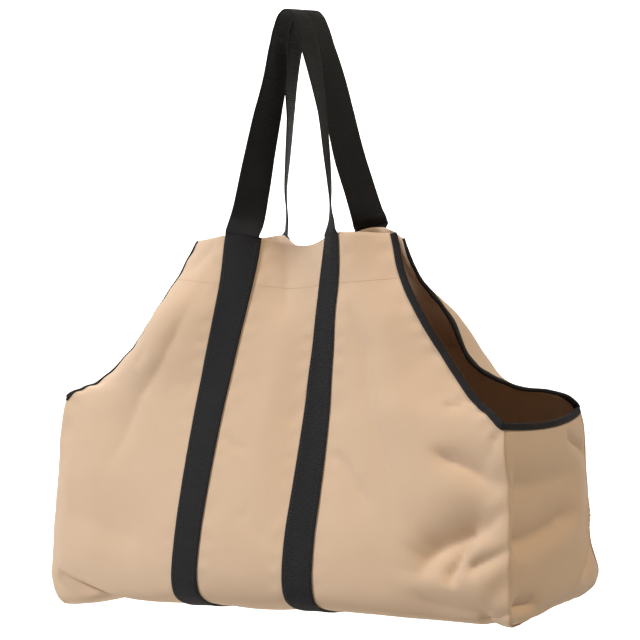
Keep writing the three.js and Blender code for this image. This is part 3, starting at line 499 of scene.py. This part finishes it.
# End panels: low boxed walls of the same canvas, sewn to the edges of the main panel and to the base.
# Each stands out a little in the middle, and its rim sags between the two seams.
SEAM_GAP = 0.35
END_BULGE = 24.0
RIM_SAG = 5.0
LEFT_FOLD_DROP = 36.0
END_CELLS = 2 * ROWS_BASE
END_FOLDS = [
    dict(line=((-84, 64), (-46, 70), (-11, 76), (33, 84), (60, 90)),
         depth=15, steep=7, gentle=28, start=0.85),
    dict(line=((-76, 124), (-36, 122), (34, 124), (70, 120)), depth=9, steep=24, gentle=22, start=0.75),
    dict(line=((98, 95), (72, 54), (40, 28), (24, 10)), depth=-6, steep=4, gentle=5, start=0.7),
    dict(line=((100, 72), (78, 40), (48, 10)), depth=12, steep=11, gentle=7, start=0.7),
    dict(line=((-86, 8), (-67, 11), (-37, 10)), depth=9, steep=5, gentle=10, start=0.85),
    dict(line=((98, 140), (55, 155), (33, 168)), depth=7, steep=5, gentle=7, start=0.85),
]


def end_grid(side):
    """Grid of an end panel from its rim down to the base, side -1 for the left and 1 for the right."""
    column = 0 if side < 0 else LAST_COLUMN
    edge = panel[:, column] - panel_normals[:, column] * (CANVAS + SEAM_GAP)
    edge = edge - np.array([side * CANVAS / 2, 0, 0])
    total = 2 * ROWS_HALF
    corner = ROWS_CUTOUT + ROWS_END
    front_edge = edge[ROWS_CUTOUT:corner + 1]
    back_edge = edge[total - corner:total - ROWS_CUTOUT + 1][::-1]
    bottom = edge[corner:total - corner + 1]
    u = np.linspace(0, 1, END_CELLS + 1)[None, :, None]
    v = np.linspace(0, 1, ROWS_END + 1)[:, None, None]
    rim = front_edge[0] + (back_edge[0] - front_edge[0]) * u[0]
    rim = rim - np.array([0, 0, RIM_SAG]) * 4 * u[0] * (1 - u[0])
    sides = front_edge[:, None] * (1 - u) + back_edge[:, None] * u
    ends = rim[None] * (1 - v) + bottom[None] * v
    corners = (rim[0] * (1 - u) + rim[-1] * u) * (1 - v) + (bottom[0] * (1 - u) + bottom[-1] * u) * v
    grid = sides + ends - corners
    inside = (smooth(np.minimum(u, 1 - u), 0, 0.08) * smooth(np.minimum(v, 1 - v), 0, 0.08))[..., 0]
    bulge = END_BULGE * np.sin(np.pi * u) ** 0.8 * np.sin(np.pi * (0.12 + 0.88 * v)) ** 0.8
    height = grid[..., 2] + (0 if side > 0 else LEFT_FOLD_DROP * (1 - smooth(grid[..., 2], 60, 200)))
    sunk = fold_depths(END_FOLDS, grid[..., 1] * side, height) - fine_wrinkles(grid[..., 1], grid[..., 2])
    grid[..., 0] += side * (bulge[..., 0] - sunk * inside)
    return grid


end_grids = {}
for name, side in (("left", -1), ("right", 1)):
    grid = end_grid(side)
    normals = grid_normals(grid, -side)
    end_grids[side] = (grid, normals)
    piece = cloth_object("end_panel_%s_cloth" % name, grid, normals, CANVAS, side < 0, canvas)
    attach(piece, "root")
    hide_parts("end_panel_" + name)


# Edge bindings: dark woven tape folded over the raw edges, one tape a side.
# Each runs down the cut-out of the front, along the rim of the end panel and up the cut-out of the back.
TAPE = 1.0
TAPE_WIDTH = 5.3
TAPE_CLEAR = 0.25
LEG_CELLS = 4
CORNER_PUSH = 1.8


def along_line(points, normals, length):
    """Places at even steps up to the given length along a line of points, with their normals."""
    run = np.concatenate([[0], np.cumsum(np.linalg.norm(np.diff(points, axis=0), axis=1))])
    at = np.linspace(0, length, LEG_CELLS + 1)
    place = np.stack([np.interp(at, run, points[:, k]) for k in range(3)], axis=1)
    normal = np.stack([np.interp(at, run, normals[:, k]) for k in range(3)], axis=1)
    return place, normal / np.linalg.norm(normal, axis=1, keepdims=True)


def sample(grid, rows, columns):
    """Values of a grid at places between its rows and columns."""
    rows = np.clip(rows, 0, grid.shape[0] - 1)
    columns = np.clip(columns, 0, grid.shape[1] - 1)
    i = np.minimum(rows.astype(int), grid.shape[0] - 2)
    j = np.minimum(columns.astype(int), grid.shape[1] - 2)
    f, g = (rows - i)[:, None], (columns - j)[:, None]
    upper = grid[i, j] * (1 - g) + grid[i, j + 1] * g
    lower = grid[i + 1, j] * (1 - g) + grid[i + 1, j + 1] * g
    return upper * (1 - f) + lower * f


def tape_legs(side):
    """Stations along a tape: lines of places and normals from the covered edge into the cloth."""
    column, inward = (0, 1) if side < 0 else (LAST_COLUMN, -1)
    edge = panel[:, column]
    grid, normals = end_grids[side]
    back = 2 * ROWS_HALF - ROWS_CUTOUT

    def from_panel(row):
        low, high = (0, ROWS_CUTOUT) if row <= ROWS_CUTOUT else (back, 2 * ROWS_HALF)
        a, b = max(row - 1, low), min(row + 1, high)
        run = (edge[b] - edge[a]) / (b - a)
        across = panel[row, column + inward] - edge[row]
        square = np.cross(panel_normals[row, column], run)
        square *= np.sign(np.dot(square, across)) / np.linalg.norm(square)
        steps = np.linalg.lstsq(np.stack([across, run], axis=1), square, rcond=None)[0]
        reach = np.linspace(0, 2 * TAPE_WIDTH, 21)
        at = row + steps[1] * reach, column + inward * steps[0] * reach
        return along_line(sample(panel, *at), sample(panel_normals, *at), TAPE_WIDTH)

    def turn(a, b):
        corner = []
        for f in (0.17, 0.33, 0.5, 0.67, 0.83):
            place = a[0] * (1 - f) + b[0] * f
            normal = a[1] * (1 - f) + b[1] * f
            normal /= np.linalg.norm(normal, axis=1, keepdims=True)
            push = np.linspace(0, CORNER_PUSH * math.sin(math.pi * f), LEG_CELLS + 1)[:, None]
            corner.append((place + normal * push, normal))
        return corner

    rim = [along_line(grid[:, c], normals[:, c], TAPE_WIDTH) for c in range(1, END_CELLS)]
    stations = [from_panel(row) for row in range(ROWS_CUTOUT + 1)]
    stations += turn(stations[-1], rim[0]) + rim + turn(rim[-1], from_panel(back))
    return stations + [from_panel(row) for row in range(back, 2 * ROWS_HALF + 1)]


def tape_object(name, stations, flip):
    """Tape as a folded channel: outer leg, round fold over the edge, inner leg, with its own thickness."""
    near = CANVAS / 2 + TAPE_CLEAR
    turns = np.linspace(0, np.pi, 9)[1:-1]
    loops, lengths = [], [0.0]
    for place, normal in stations:
        up = place[0] - place[1]
        up /= np.linalg.norm(up)
        faces = []
        for radius in (near + TAPE, near):
            outer = place[::-1] + normal[::-1] * radius
            bend = [place[0] + normal[0] * radius * math.cos(t) + up * radius * math.sin(t) for t in turns]
            faces.append(np.concatenate([outer, bend, place - normal * radius]))
        loops.append(np.concatenate([faces[0], faces[1][::-1]]))
    for a, b in zip(stations, stations[1:]):
        lengths.append(lengths[-1] + float(np.linalg.norm(b[0][2] - a[0][2])))
    count = len(loops[0])
    cross = np.concatenate([[0], np.cumsum(np.linalg.norm(np.diff(loops[0], axis=0), axis=1))])
    uv = [(c, s) for s in lengths for c in cross]
    quads = []
    for s in range(len(loops) - 1):
        for i in range(count):
            j = (i + 1) % count
            quads.append((s * count + i, (s + 1) * count + i, (s + 1) * count + j, s * count + j))
    last = (len(loops) - 1) * count
    for i in range(count // 2 - 1):
        quads.append((i, i + 1, count - 2 - i, count - 1 - i))
        quads.append((last + count - 1 - i, last + count - 2 - i, last + i + 1, last + i))
    if flip:
        quads = [q[::-1] for q in quads]
    return mesh_object(name, np.concatenate(loops), quads, uv)


def woven_material(name, light, dark, across, along, depth, roughness, sheen):
    """Narrow woven band of polypropylene yarn: fine ribs, uneven yarn and a little rubbed grey."""
    material = bpy.data.materials.new(name)
    material.use_nodes = True
    tree = material.node_tree
    shader = tree.nodes["Principled BSDF"]
    place = add(tree, "ShaderNodeUVMap", {"uv_map": "cut"}).outputs["UV"]
    axes = add(tree, "ShaderNodeSeparateXYZ", links={"Vector": place})
    waves = []
    for axis, pitch in (("X", across), ("Y", along)):
        turn = add(
            tree, "ShaderNodeMath", {"operation": "MULTIPLY"},
            {0: axes.outputs[axis], 1: 2 * math.pi / pitch},
        )
        waves.append(add(tree, "ShaderNodeMath", {"operation": "SINE"}, {0: turn.outputs[0]}).outputs[0])
    summed = {"operation": "MULTIPLY_ADD"}
    limited = {"operation": "MULTIPLY_ADD", "use_clamp": True}
    weave = add(tree, "ShaderNodeMath", summed, {0: waves[0], 1: 0.4, 2: waves[1]}).outputs[0]
    # Yarn about a millimetre thick and rubbed places about 25 mm across.
    yarn = add(tree, "ShaderNodeTexNoise", links={"Vector": place, "Scale": 900.0, "Detail": 3.0}).outputs[0]
    worn = add(tree, "ShaderNodeTexNoise", links={"Vector": place, "Scale": 40.0, "Detail": 3.0}).outputs[0]
    shade = add(tree, "ShaderNodeMath", {"operation": "MULTIPLY"}, {0: yarn, 1: 0.5}).outputs[0]
    shade = add(tree, "ShaderNodeMath", summed, {0: worn, 1: 0.4, 2: shade}).outputs[0]
    shade = add(tree, "ShaderNodeMath", limited, {0: weave, 1: 0.12, 2: shade}).outputs[0]
    colour = add(tree, "ShaderNodeMix", {"data_type": "RGBA"}, {"Factor": shade})
    colour.inputs[6].default_value = linear(dark)
    colour.inputs[7].default_value = linear(light)
    tree.links.new(colour.outputs[2], shader.inputs["Base Color"])
    grain = add(tree, "ShaderNodeMath", summed, {0: yarn, 1: 0.8, 2: weave}).outputs[0]
    bump = add(tree, "ShaderNodeBump", links={"Height": grain, "Strength": 0.6, "Distance": depth})
    tree.links.new(bump.outputs["Normal"], shader.inputs["Normal"])
    shader.inputs["Roughness"].default_value = roughness
    shader.inputs["Specular IOR Level"].default_value = 0.2
    shader.inputs["Sheen Weight"].default_value = sheen
    shader.inputs["Sheen Roughness"].default_value = 0.5
    return material


binding = woven_material("woven_tape", "#2A2A2F", "#161619", 0.0012, 0.0012, 0.0002, 0.8, 0.03)
tape_lines = {}
for name, side in (("left", -1), ("right", 1)):
    stations = tape_legs(side)
    tape_lines[side] = stations
    piece = tape_object("edge_binding_%s_tape" % name, stations, side > 0)
    piece.data.materials.append(binding)
    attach(piece, "root")
    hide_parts("edge_binding_" + name)


# Webbing: ribbed black band, one length for the front and one for the back.
# Each is sewn from the middle of the base up the panel, makes a free handle and is sewn down again.
WEBBING = 2.0
RIB = 2.4
RIB_HEIGHT = 0.28
RIB_STEPS = 4
# Rows from above the hem to the top of the arch: height, distance from the middle, turn of both handles,
# and for each leg its distance from the middle line and the direction of its width seen from above.
HANDLE_COLUMNS = "z y twist front_left front_right back_left back_right".split()
HANDLE = [dict(zip(HANDLE_COLUMNS, row)) for row in (
    (384, 36.5, -2, (54, 47), (53, 129), (53, 129), (54, 53)),
    (415, 30.5, 0, (49, 57), (48, 120), (47, 123), (48.5, 59)),
    (450, 25, 1, (43.5, 65), (42.5, 115), (38.5, 118), (41, 60)),
    (493, 20.5, 4, (34.5, 72), (35, 112), (29, 114), (34.5, 68)),
    (535, 19.3, 7, (23.5, 83), (26.5, 102), (24.5, 103), (28, 83)),
    (571, 19.3, 8, (18, 96), (18.5, 93), (18.5, 97), (18.5, 93)),
    (589, 19.3, 8, (13.5, 98), (13.5, 95), (13.5, 98), (13, 95)),
    (602, 19.3, 8, (7.5, 98), (7.5, 98), (7.5, 98), (7, 98)),
    (607, 19.3, 8, (0, 98), (0, 98), (0, 98), (0, 98)),
)]
HANDLE_TOP, HANDLE_EVEN, BACK_HANDLE_RISE, HANDLE_TILT = 607, 520, 4.0, 6.0
HEM_ANGLE_RISING, HEM_ANGLE_FALLING = 30.0, 142.0
HANDLE_STEPS = 10


def centripetal(points, steps):
    """Points of a smooth curve through a list of points, without its first and last span, and their spans."""
    points = np.array(points, float)
    knots = np.concatenate([[0], np.cumsum(np.linalg.norm(np.diff(points, axis=0), axis=1) ** 0.5)])
    places, spans = [], []
    for i in range(1, len(points) - 2):
        p, k = points[i - 1:i + 3], knots[i - 1:i + 3]
        for f in np.linspace(0, 1, steps, endpoint=False):
            t = k[1] + (k[2] - k[1]) * f
            a = [p[j] + (p[j + 1] - p[j]) * (t - k[j]) / (k[j + 1] - k[j]) for j in range(3)]
            b = [a[j] + (a[j + 1] - a[j]) * (t - k[j]) / (k[j + 2] - k[j]) for j in range(2)]
            places.append(b[0] + (b[1] - b[0]) * (t - k[1]) / (k[2] - k[1]))
            spans.append(i - 1 + f)
    return np.array(places), np.array(spans)


def webbing_lines(side):
    """Stations along a length: five places across its inner face and the outward direction at each."""
    first, second = (LEFT_STRAP, RIGHT_STRAP) if side < 0 else (RIGHT_STRAP, LEFT_STRAP)
    lift = CANVAS / 2 + SEAM_GAP

    def sewn(i, strap, backwards):
        cols = np.arange(strap, strap + CELLS_STRAP + 1)
        cols = cols[::-1] if backwards else cols
        row = i if side < 0 else 2 * ROWS_HALF - i
        shift = np.array([0, side * SEAM_GAP / 2 if i == ROWS_HALF else 0, 0])
        return panel[row, cols] + panel_normals[row, cols] * lift + shift, panel_normals[row, cols]

    def middle(station):
        return station[0][2] + station[1][2] * WEBBING / 2

    rising = [sewn(i, first, side > 0) for i in range(ROWS_HALF, -1, -1)]
    falling = [sewn(i, second, side < 0) for i in range(ROWS_HALF + 1)]
    start, finish = middle(rising[-1]), middle(falling[0])
    top_rise = BACK_HANDLE_RISE if side > 0 else 0
    even = LEVEL_TABLE["inset"][0] / 2

    def leg(end):
        return ("front_" if side < 0 else "back_") + ("left" if end < 0 else "right")

    def place(row, end):
        z, y, x = row["z"], row["y"], row[leg(end)][0]
        up = (z - start[2]) / (HANDLE_TOP - start[2])
        lean = even * max(0, (HANDLE_EVEN - z) / (HANDLE_EVEN - start[2]))
        fade = (1 - up) ** 1.5
        a = math.radians(row["twist"])
        px, py = end * x, side * (y + side * end * lean)
        return (
            px * math.cos(a) - py * math.sin(a) + (BACK_HEM_SHIFT if side > 0 else FRONT_HEM_SHIFT) * fade,
            px * math.sin(a) + py * math.cos(a) + HEM_SHIFT_Y * fade,
            z + top_rise * up,
        )

    points = [middle(rising[-5]), start]
    angles = [HEM_ANGLE_RISING]
    for row in HANDLE:
        points.append(place(row, side))
        angles.append(row[leg(side)][1])
    for row in HANDLE[-2::-1]:
        points.append(place(row, -side))
        angles.append(row[leg(-side)][1])
    points += [finish, middle(falling[4])]
    angles.append(HEM_ANGLE_FALLING - (BACK_TURN if side > 0 else 0))
    curve, spans = centripetal(points, HANDLE_STEPS)
    tilt = math.radians(HANDLE_TILT)
    tangents = np.gradient(curve, axis=0)
    tangents /= np.linalg.norm(tangents, axis=1, keepdims=True)
    steps = np.linspace(-WEBBING_WIDTH / 2, WEBBING_WIDTH / 2, CELLS_STRAP + 1)[:, None]
    handle = []
    for centre, tangent, span in list(zip(curve, tangents, spans))[1:]:
        k = int(span)
        angle = math.radians(angles[k] + (angles[k + 1] - angles[k]) * (span - k))
        across = -side * np.array([math.cos(angle), math.sin(angle), math.tan(tilt)])
        across -= tangent * np.dot(across, tangent)
        across /= np.linalg.norm(across)
        out = np.cross(across, tangent)
        inner = centre - out * WEBBING / 2 + across * steps
        handle.append((inner, np.repeat(out[None], CELLS_STRAP + 1, axis=0)))
    return rising, handle, falling


def band_object(name, stations):
    """A ribbed band along its stations: ribs across its width, thinner selvedges and rounded edges."""
    inner = np.array([s[0] for s in stations])
    out = np.array([s[1] for s in stations])
    run = np.concatenate([[0], np.cumsum(np.linalg.norm(np.diff(inner[:, 2], axis=0), axis=1))])
    at = np.linspace(0, run[-1], int(run[-1] / RIB) * RIB_STEPS + 1)
    lanes = np.array([-1.0, -0.94, -0.8, -0.4, 0.0, 0.4, 0.8, 0.94, 1.0])
    seat = (lanes + 1) / 2 * CELLS_STRAP
    low = np.clip(seat.astype(int), 0, CELLS_STRAP - 1)
    share = (seat - low)[None, :, None]

    def even(values):
        lines = [[np.interp(at, run, values[:, j, k]) for k in range(3)] for j in range(CELLS_STRAP + 1)]
        lines = np.array(lines).transpose(2, 0, 1)
        return lines[:, low] * (1 - share) + lines[:, low + 1] * share

    base, direction = even(inner), even(out)
    direction /= np.linalg.norm(direction, axis=2, keepdims=True)
    wave = 0.5 - 0.5 * np.cos(2 * np.pi * np.arange(len(at)) / RIB_STEPS)
    ridge = RIB_HEIGHT * wave[:, None] * (1 - smooth(np.abs(lanes), 0.8, 0.95))[None]
    edge = 0.5 * smooth(np.abs(lanes), 0.9, 1.0)[None]
    top = base + direction * (WEBBING - 0.25 - edge + ridge)[..., None]
    under = base + direction * (0.15 + edge - 0.5 * ridge)[..., None]
    width = len(lanes)
    loops = np.concatenate([under, top[:, ::-1]], axis=1)
    count = 2 * width
    quads = []
    for s in range(len(at) - 1):
        for i in range(count):
            j = (i + 1) % count
            quads.append((s * count + i, (s + 1) * count + i, (s + 1) * count + j, s * count + j))
    last = (len(at) - 1) * count
    for i in range(width - 1):
        quads.append((i, i + 1, count - 2 - i, count - 1 - i))
        quads.append((last + count - 1 - i, last + count - 2 - i, last + i + 1, last + i))
    cut = np.concatenate([lanes, lanes[::-1] + 2.2]) * WEBBING_WIDTH / 2
    return mesh_object(name, loops.reshape(-1, 3), quads, [(c, s) for s in at for c in cut])


webbing_material = woven_material(
    "ribbed_webbing", "#27282D", "#131417", 0.0016, RIB / 1000, 0.00025, 0.75, 0.03
)
webbing_paths = {}
for name, side in (("front", -1), ("back", 1)):
    rising, handle, falling = webbing_lines(side)
    webbing_paths[side] = (rising, falling)
    piece = band_object("%s_webbing_band" % name, rising + handle + falling)
    piece.data.materials.append(webbing_material)
    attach(piece, "root")
    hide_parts("%s_webbing" % name)


# Stitching: short lockstitches in polyester thread, one row along each sewn edge.
# Dark thread holds the webbing and the tape, tan thread the hem.
# Each stitch is a small rounded bar that lies on the cloth, drawn a little coarser than real thread.
STITCH_SEAT = 0.45
# Rows of the name, the light and the dark colour, and the spacing, length and thickness in millimetres.
STITCHES = [
    ("webbing_stitching", "#3A3A3E", "#232326", 4.2, 3.2, 0.8),
    ("tape_stitching", "#3A3A3F", "#222226", 3.6, 2.7, 0.6),
    ("hem_stitching", "#D6BAA0", "#CCB196", 4.0, 3.0, 0.45),
]


def thread_material(name, colour, dark):
    """Twisted polyester thread: slightly glossy, with light and dark turns about half a millimetre long."""
    material = bpy.data.materials.new(name)
    material.use_nodes = True
    tree = material.node_tree
    shader = tree.nodes["Principled BSDF"]
    place = add(tree, "ShaderNodeTexCoord").outputs["Object"]
    turns = add(tree, "ShaderNodeTexNoise", links={"Vector": place, "Scale": 1900.0, "Detail": 1.0})
    twist = turns.outputs[0]
    shade = add(tree, "ShaderNodeMix", {"data_type": "RGBA"}, {"Factor": twist})
    shade.inputs[6].default_value = linear(dark)
    shade.inputs[7].default_value = linear(colour)
    tree.links.new(shade.outputs[2], shader.inputs["Base Color"])
    bump = add(tree, "ShaderNodeBump", links={"Height": twist, "Strength": 0.4, "Distance": 0.0001})
    tree.links.new(bump.outputs["Normal"], shader.inputs["Normal"])
    shader.inputs["Roughness"].default_value = 0.55
    shader.inputs["Specular IOR Level"].default_value = 0.35
    return material


def stitch_tree():
    """Tree that sets one stitch after another along the lines it is given, at an even spacing."""
    tree = bpy.data.node_groups.new("stitch_row", "GeometryNodeTree")
    faces = tree.interface
    faces.new_socket("Geometry", in_out="INPUT", socket_type="NodeSocketGeometry")
    for label in ("Spacing", "Length", "Thickness"):
        faces.new_socket(label, in_out="INPUT", socket_type="NodeSocketFloat")
    faces.new_socket("Thread", in_out="INPUT", socket_type="NodeSocketMaterial")
    faces.new_socket("Geometry", in_out="OUTPUT", socket_type="NodeSocketGeometry")
    given = add(tree, "NodeGroupInput").outputs
    line = add(tree, "GeometryNodeMeshToCurve", links={"Mesh": given["Geometry"]})
    spots = add(
        tree, "GeometryNodeCurveToPoints", {"mode": "LENGTH"},
        {"Curve": line.outputs["Curve"], "Length": given["Spacing"]},
    )
    lying = add(
        tree, "FunctionNodeAlignRotationToVector", {"axis": "X"}, {"Vector": spots.outputs["Tangent"]}
    )
    bead = add(tree, "GeometryNodeMeshUVSphere", links={"Segments": 6, "Rings": 4, "Radius": 0.5})
    size = add(
        tree, "ShaderNodeCombineXYZ",
        links={"X": given["Length"], "Y": given["Thickness"], "Z": given["Thickness"]},
    )
    bar = add(
        tree, "GeometryNodeTransform",
        links={"Geometry": bead.outputs["Mesh"], "Scale": size.outputs["Vector"]},
    )
    row = add(
        tree, "GeometryNodeInstanceOnPoints",
        links={
            "Points": spots.outputs["Points"], "Instance": bar.outputs["Geometry"],
            "Rotation": lying.outputs["Rotation"],
        },
    )
    real = add(tree, "GeometryNodeRealizeInstances", links={"Geometry": row.outputs["Instances"]})
    soft = add(tree, "GeometryNodeSetShadeSmooth", links={"Geometry": real.outputs["Geometry"]})
    done = add(
        tree, "GeometryNodeSetMaterial",
        links={"Geometry": soft.outputs["Geometry"], "Material": given["Thread"]},
    )
    add(tree, "NodeGroupOutput", links={"Geometry": done.outputs["Geometry"]})
    return tree


def stitched(tree, name, lines, values):
    """Runs the stitch tree on a set of lines and keeps the result as a plain mesh."""
    points, edges = [], []
    for line in lines:
        edges += [(len(points) + i, len(points) + i + 1) for i in range(len(line) - 1)]
        points += to_part(line).tolist()
    mesh = bpy.data.meshes.new(name + "_lines")
    mesh.from_pydata(points, edges, [])
    guide = bpy.data.objects.new(name + "_lines", mesh)
    bpy.context.scene.collection.objects.link(guide)
    modifier = guide.modifiers.new("stitches", "NODES")
    modifier.node_group = tree
    for item in tree.interface.items_tree:
        if item.in_out == "INPUT" and item.name in values:
            modifier[item.identifier] = values[item.name]
    result = bpy.data.meshes.new_from_object(guide.evaluated_get(bpy.context.evaluated_depsgraph_get()))
    bpy.data.objects.remove(guide)
    result.name = name
    obj = bpy.data.objects.new(name, result)
    bpy.context.scene.collection.objects.link(obj)
    return obj


webbing_rows, tape_rows, hem_rows = [], [], []
for side in (-1, 1):
    for leg in webbing_paths[side]:
        for lane, beside in ((0, 1), (CELLS_STRAP, CELLS_STRAP - 1)):
            line = []
            for place, normal in leg[2:-2]:
                seat = place[lane] * (1 - STITCH_SEAT) + place[beside] * STITCH_SEAT
                line.append(seat + normal[lane] * (WEBBING + 0.05))
            webbing_rows.append(line)
    over_tape = CANVAS / 2 + TAPE_CLEAR + TAPE + 0.1
    lane = LEG_CELLS - 1
    tape_rows.append([place[lane] + normal[lane] * over_tape for place, normal in tape_lines[side]])
hem_spans = (
    (2, LEFT_STRAP - 1),
    (LEFT_STRAP + CELLS_STRAP + 1, RIGHT_STRAP - 1),
    (RIGHT_STRAP + CELLS_STRAP + 1, LAST_COLUMN - 2),
)
over_canvas = panel + panel_normals * (CANVAS / 2 + 0.2)
for first, last in hem_spans:
    for order in (slice(None), slice(None, None, -1)):
        line = []
        for c in range(first, last + 1):
            run = hem_run[order, c][:ROWS_HALF]
            shell = over_canvas[order, c][:ROWS_HALF]
            line.append([float(np.interp(HEM, run, shell[:, k])) for k in range(3)])
        hem_rows.append(line)

tree = stitch_tree()
sewn_lines = (("webbing", webbing_rows), ("binding", tape_rows), ("canvas", hem_rows))
for (name, colour, dark, spacing, length, thickness), (slot, lines) in zip(STITCHES, sewn_lines):
    values = {
        "Spacing": spacing / 1000,
        "Length": length / 1000,
        "Thickness": thickness / 1000,
        "Thread": thread_material(name.replace("stitching", "thread"), colour, dark),
    }
    piece = stitched(tree, name, lines, values)
    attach(piece, "root")


# Stage: pale floor that rises in a round cove into a pale wall, and lies well under the hanging carrier.
# A soft key light stands at the front left, a warm one above the right end, and one lights the wall.
# The camera looks at the front and the right end, level with the hem.
VIEW_TURN = 35.8
FLOOR_DROP = 0.3
COVE_START, COVE_RADIUS, WALL_HEIGHT = 2.2, 1.2, 4.0
floor_z = cad_box[0][2] - FLOOR_DROP
profile = [(y, floor_z) for y in (-3.0, -1.0, 1.0, COVE_START)]
for angle in np.linspace(0, math.pi / 2, 13)[1:]:
    back = COVE_START + COVE_RADIUS * math.sin(angle)
    profile.append((back, floor_z + COVE_RADIUS - COVE_RADIUS * math.cos(angle)))
profile.append((COVE_START + COVE_RADIUS, floor_z + WALL_HEIGHT))
turn = math.radians(VIEW_TURN)
stage_points = [
    (x * math.cos(turn) - y * math.sin(turn), x * math.sin(turn) + y * math.cos(turn), z)
    for y, z in profile for x in (-5.0, 5.0)
]
stage_mesh = bpy.data.meshes.new("floor")
stage_faces = [(2 * i, 2 * i + 1, 2 * i + 3, 2 * i + 2) for i in range(len(profile) - 1)]
stage_mesh.from_pydata(stage_points, [], stage_faces)
stage_mesh.polygons.foreach_set("use_smooth", [True] * len(stage_mesh.polygons))
floor = bpy.data.objects.new("floor", stage_mesh)
bpy.context.scene.collection.objects.link(floor)
floor_material = bpy.data.materials.new("painted_backdrop")
floor_material.use_nodes = True
floor_shader = floor_material.node_tree.nodes["Principled BSDF"]
floor_shader.inputs["Base Color"].default_value = linear("#C8C7C4")
floor_shader.inputs["Roughness"].default_value = 0.9
floor_shader.inputs["Specular IOR Level"].default_value = 0.1
floor.data.materials.append(floor_material)

world = bpy.data.worlds.new("studio")
bpy.context.scene.world = world
world.use_nodes = True
world.node_tree.nodes["Background"].inputs["Color"].default_value = linear("#FFEFD6")
world.node_tree.nodes["Background"].inputs["Strength"].default_value = 0.17


def soft_light(name, place, aim, size, power, colour="#FFFFFF"):
    """Square area light pointed at a place."""
    data = bpy.data.lights.new(name, "AREA")
    data.energy = power
    data.color = linear(colour)[:3]
    data.size = size
    lamp = bpy.data.objects.new(name, data)
    lamp.location = place
    lamp.rotation_euler = (Vector(aim) - Vector(place)).to_track_quat("-Z", "Y").to_euler()
    bpy.context.scene.collection.objects.link(lamp)


soft_light("key", (-2.0, -2.4, 1.45), (0, 0, -0.4), 0.9, 97)
soft_light("fill", (1.9, -0.6, 2.4), (0.3, 0, -0.5), 0.9, 60, "#FFF0D8")
soft_light("backdrop", (-0.6, 1.2, 1.6), (-2.0, 2.8, 0.0), 2.0, 260)

bpy.context.scene.view_settings.view_transform = "Standard"
camera_data = bpy.data.cameras.new("camera")
camera = bpy.data.objects.new("camera", camera_data)
bpy.context.scene.collection.objects.link(camera)
bpy.context.scene.camera = camera
FILM_WIDTH, IMAGE_WIDTH, FOCAL_PIXELS = 36.0, 640, 1454
CAMERA_PLACE, CAMERA_AIM = Vector((0.9359, -1.2977, -0.2340)), Vector((0.0165, 0.0119, -0.3327))
camera_data.sensor_width = FILM_WIDTH
camera_data.lens = FILM_WIDTH * FOCAL_PIXELS / IMAGE_WIDTH
camera.location = CAMERA_PLACE
camera.rotation_euler = (CAMERA_AIM - CAMERA_PLACE).to_track_quat("-Z", "Y").to_euler()
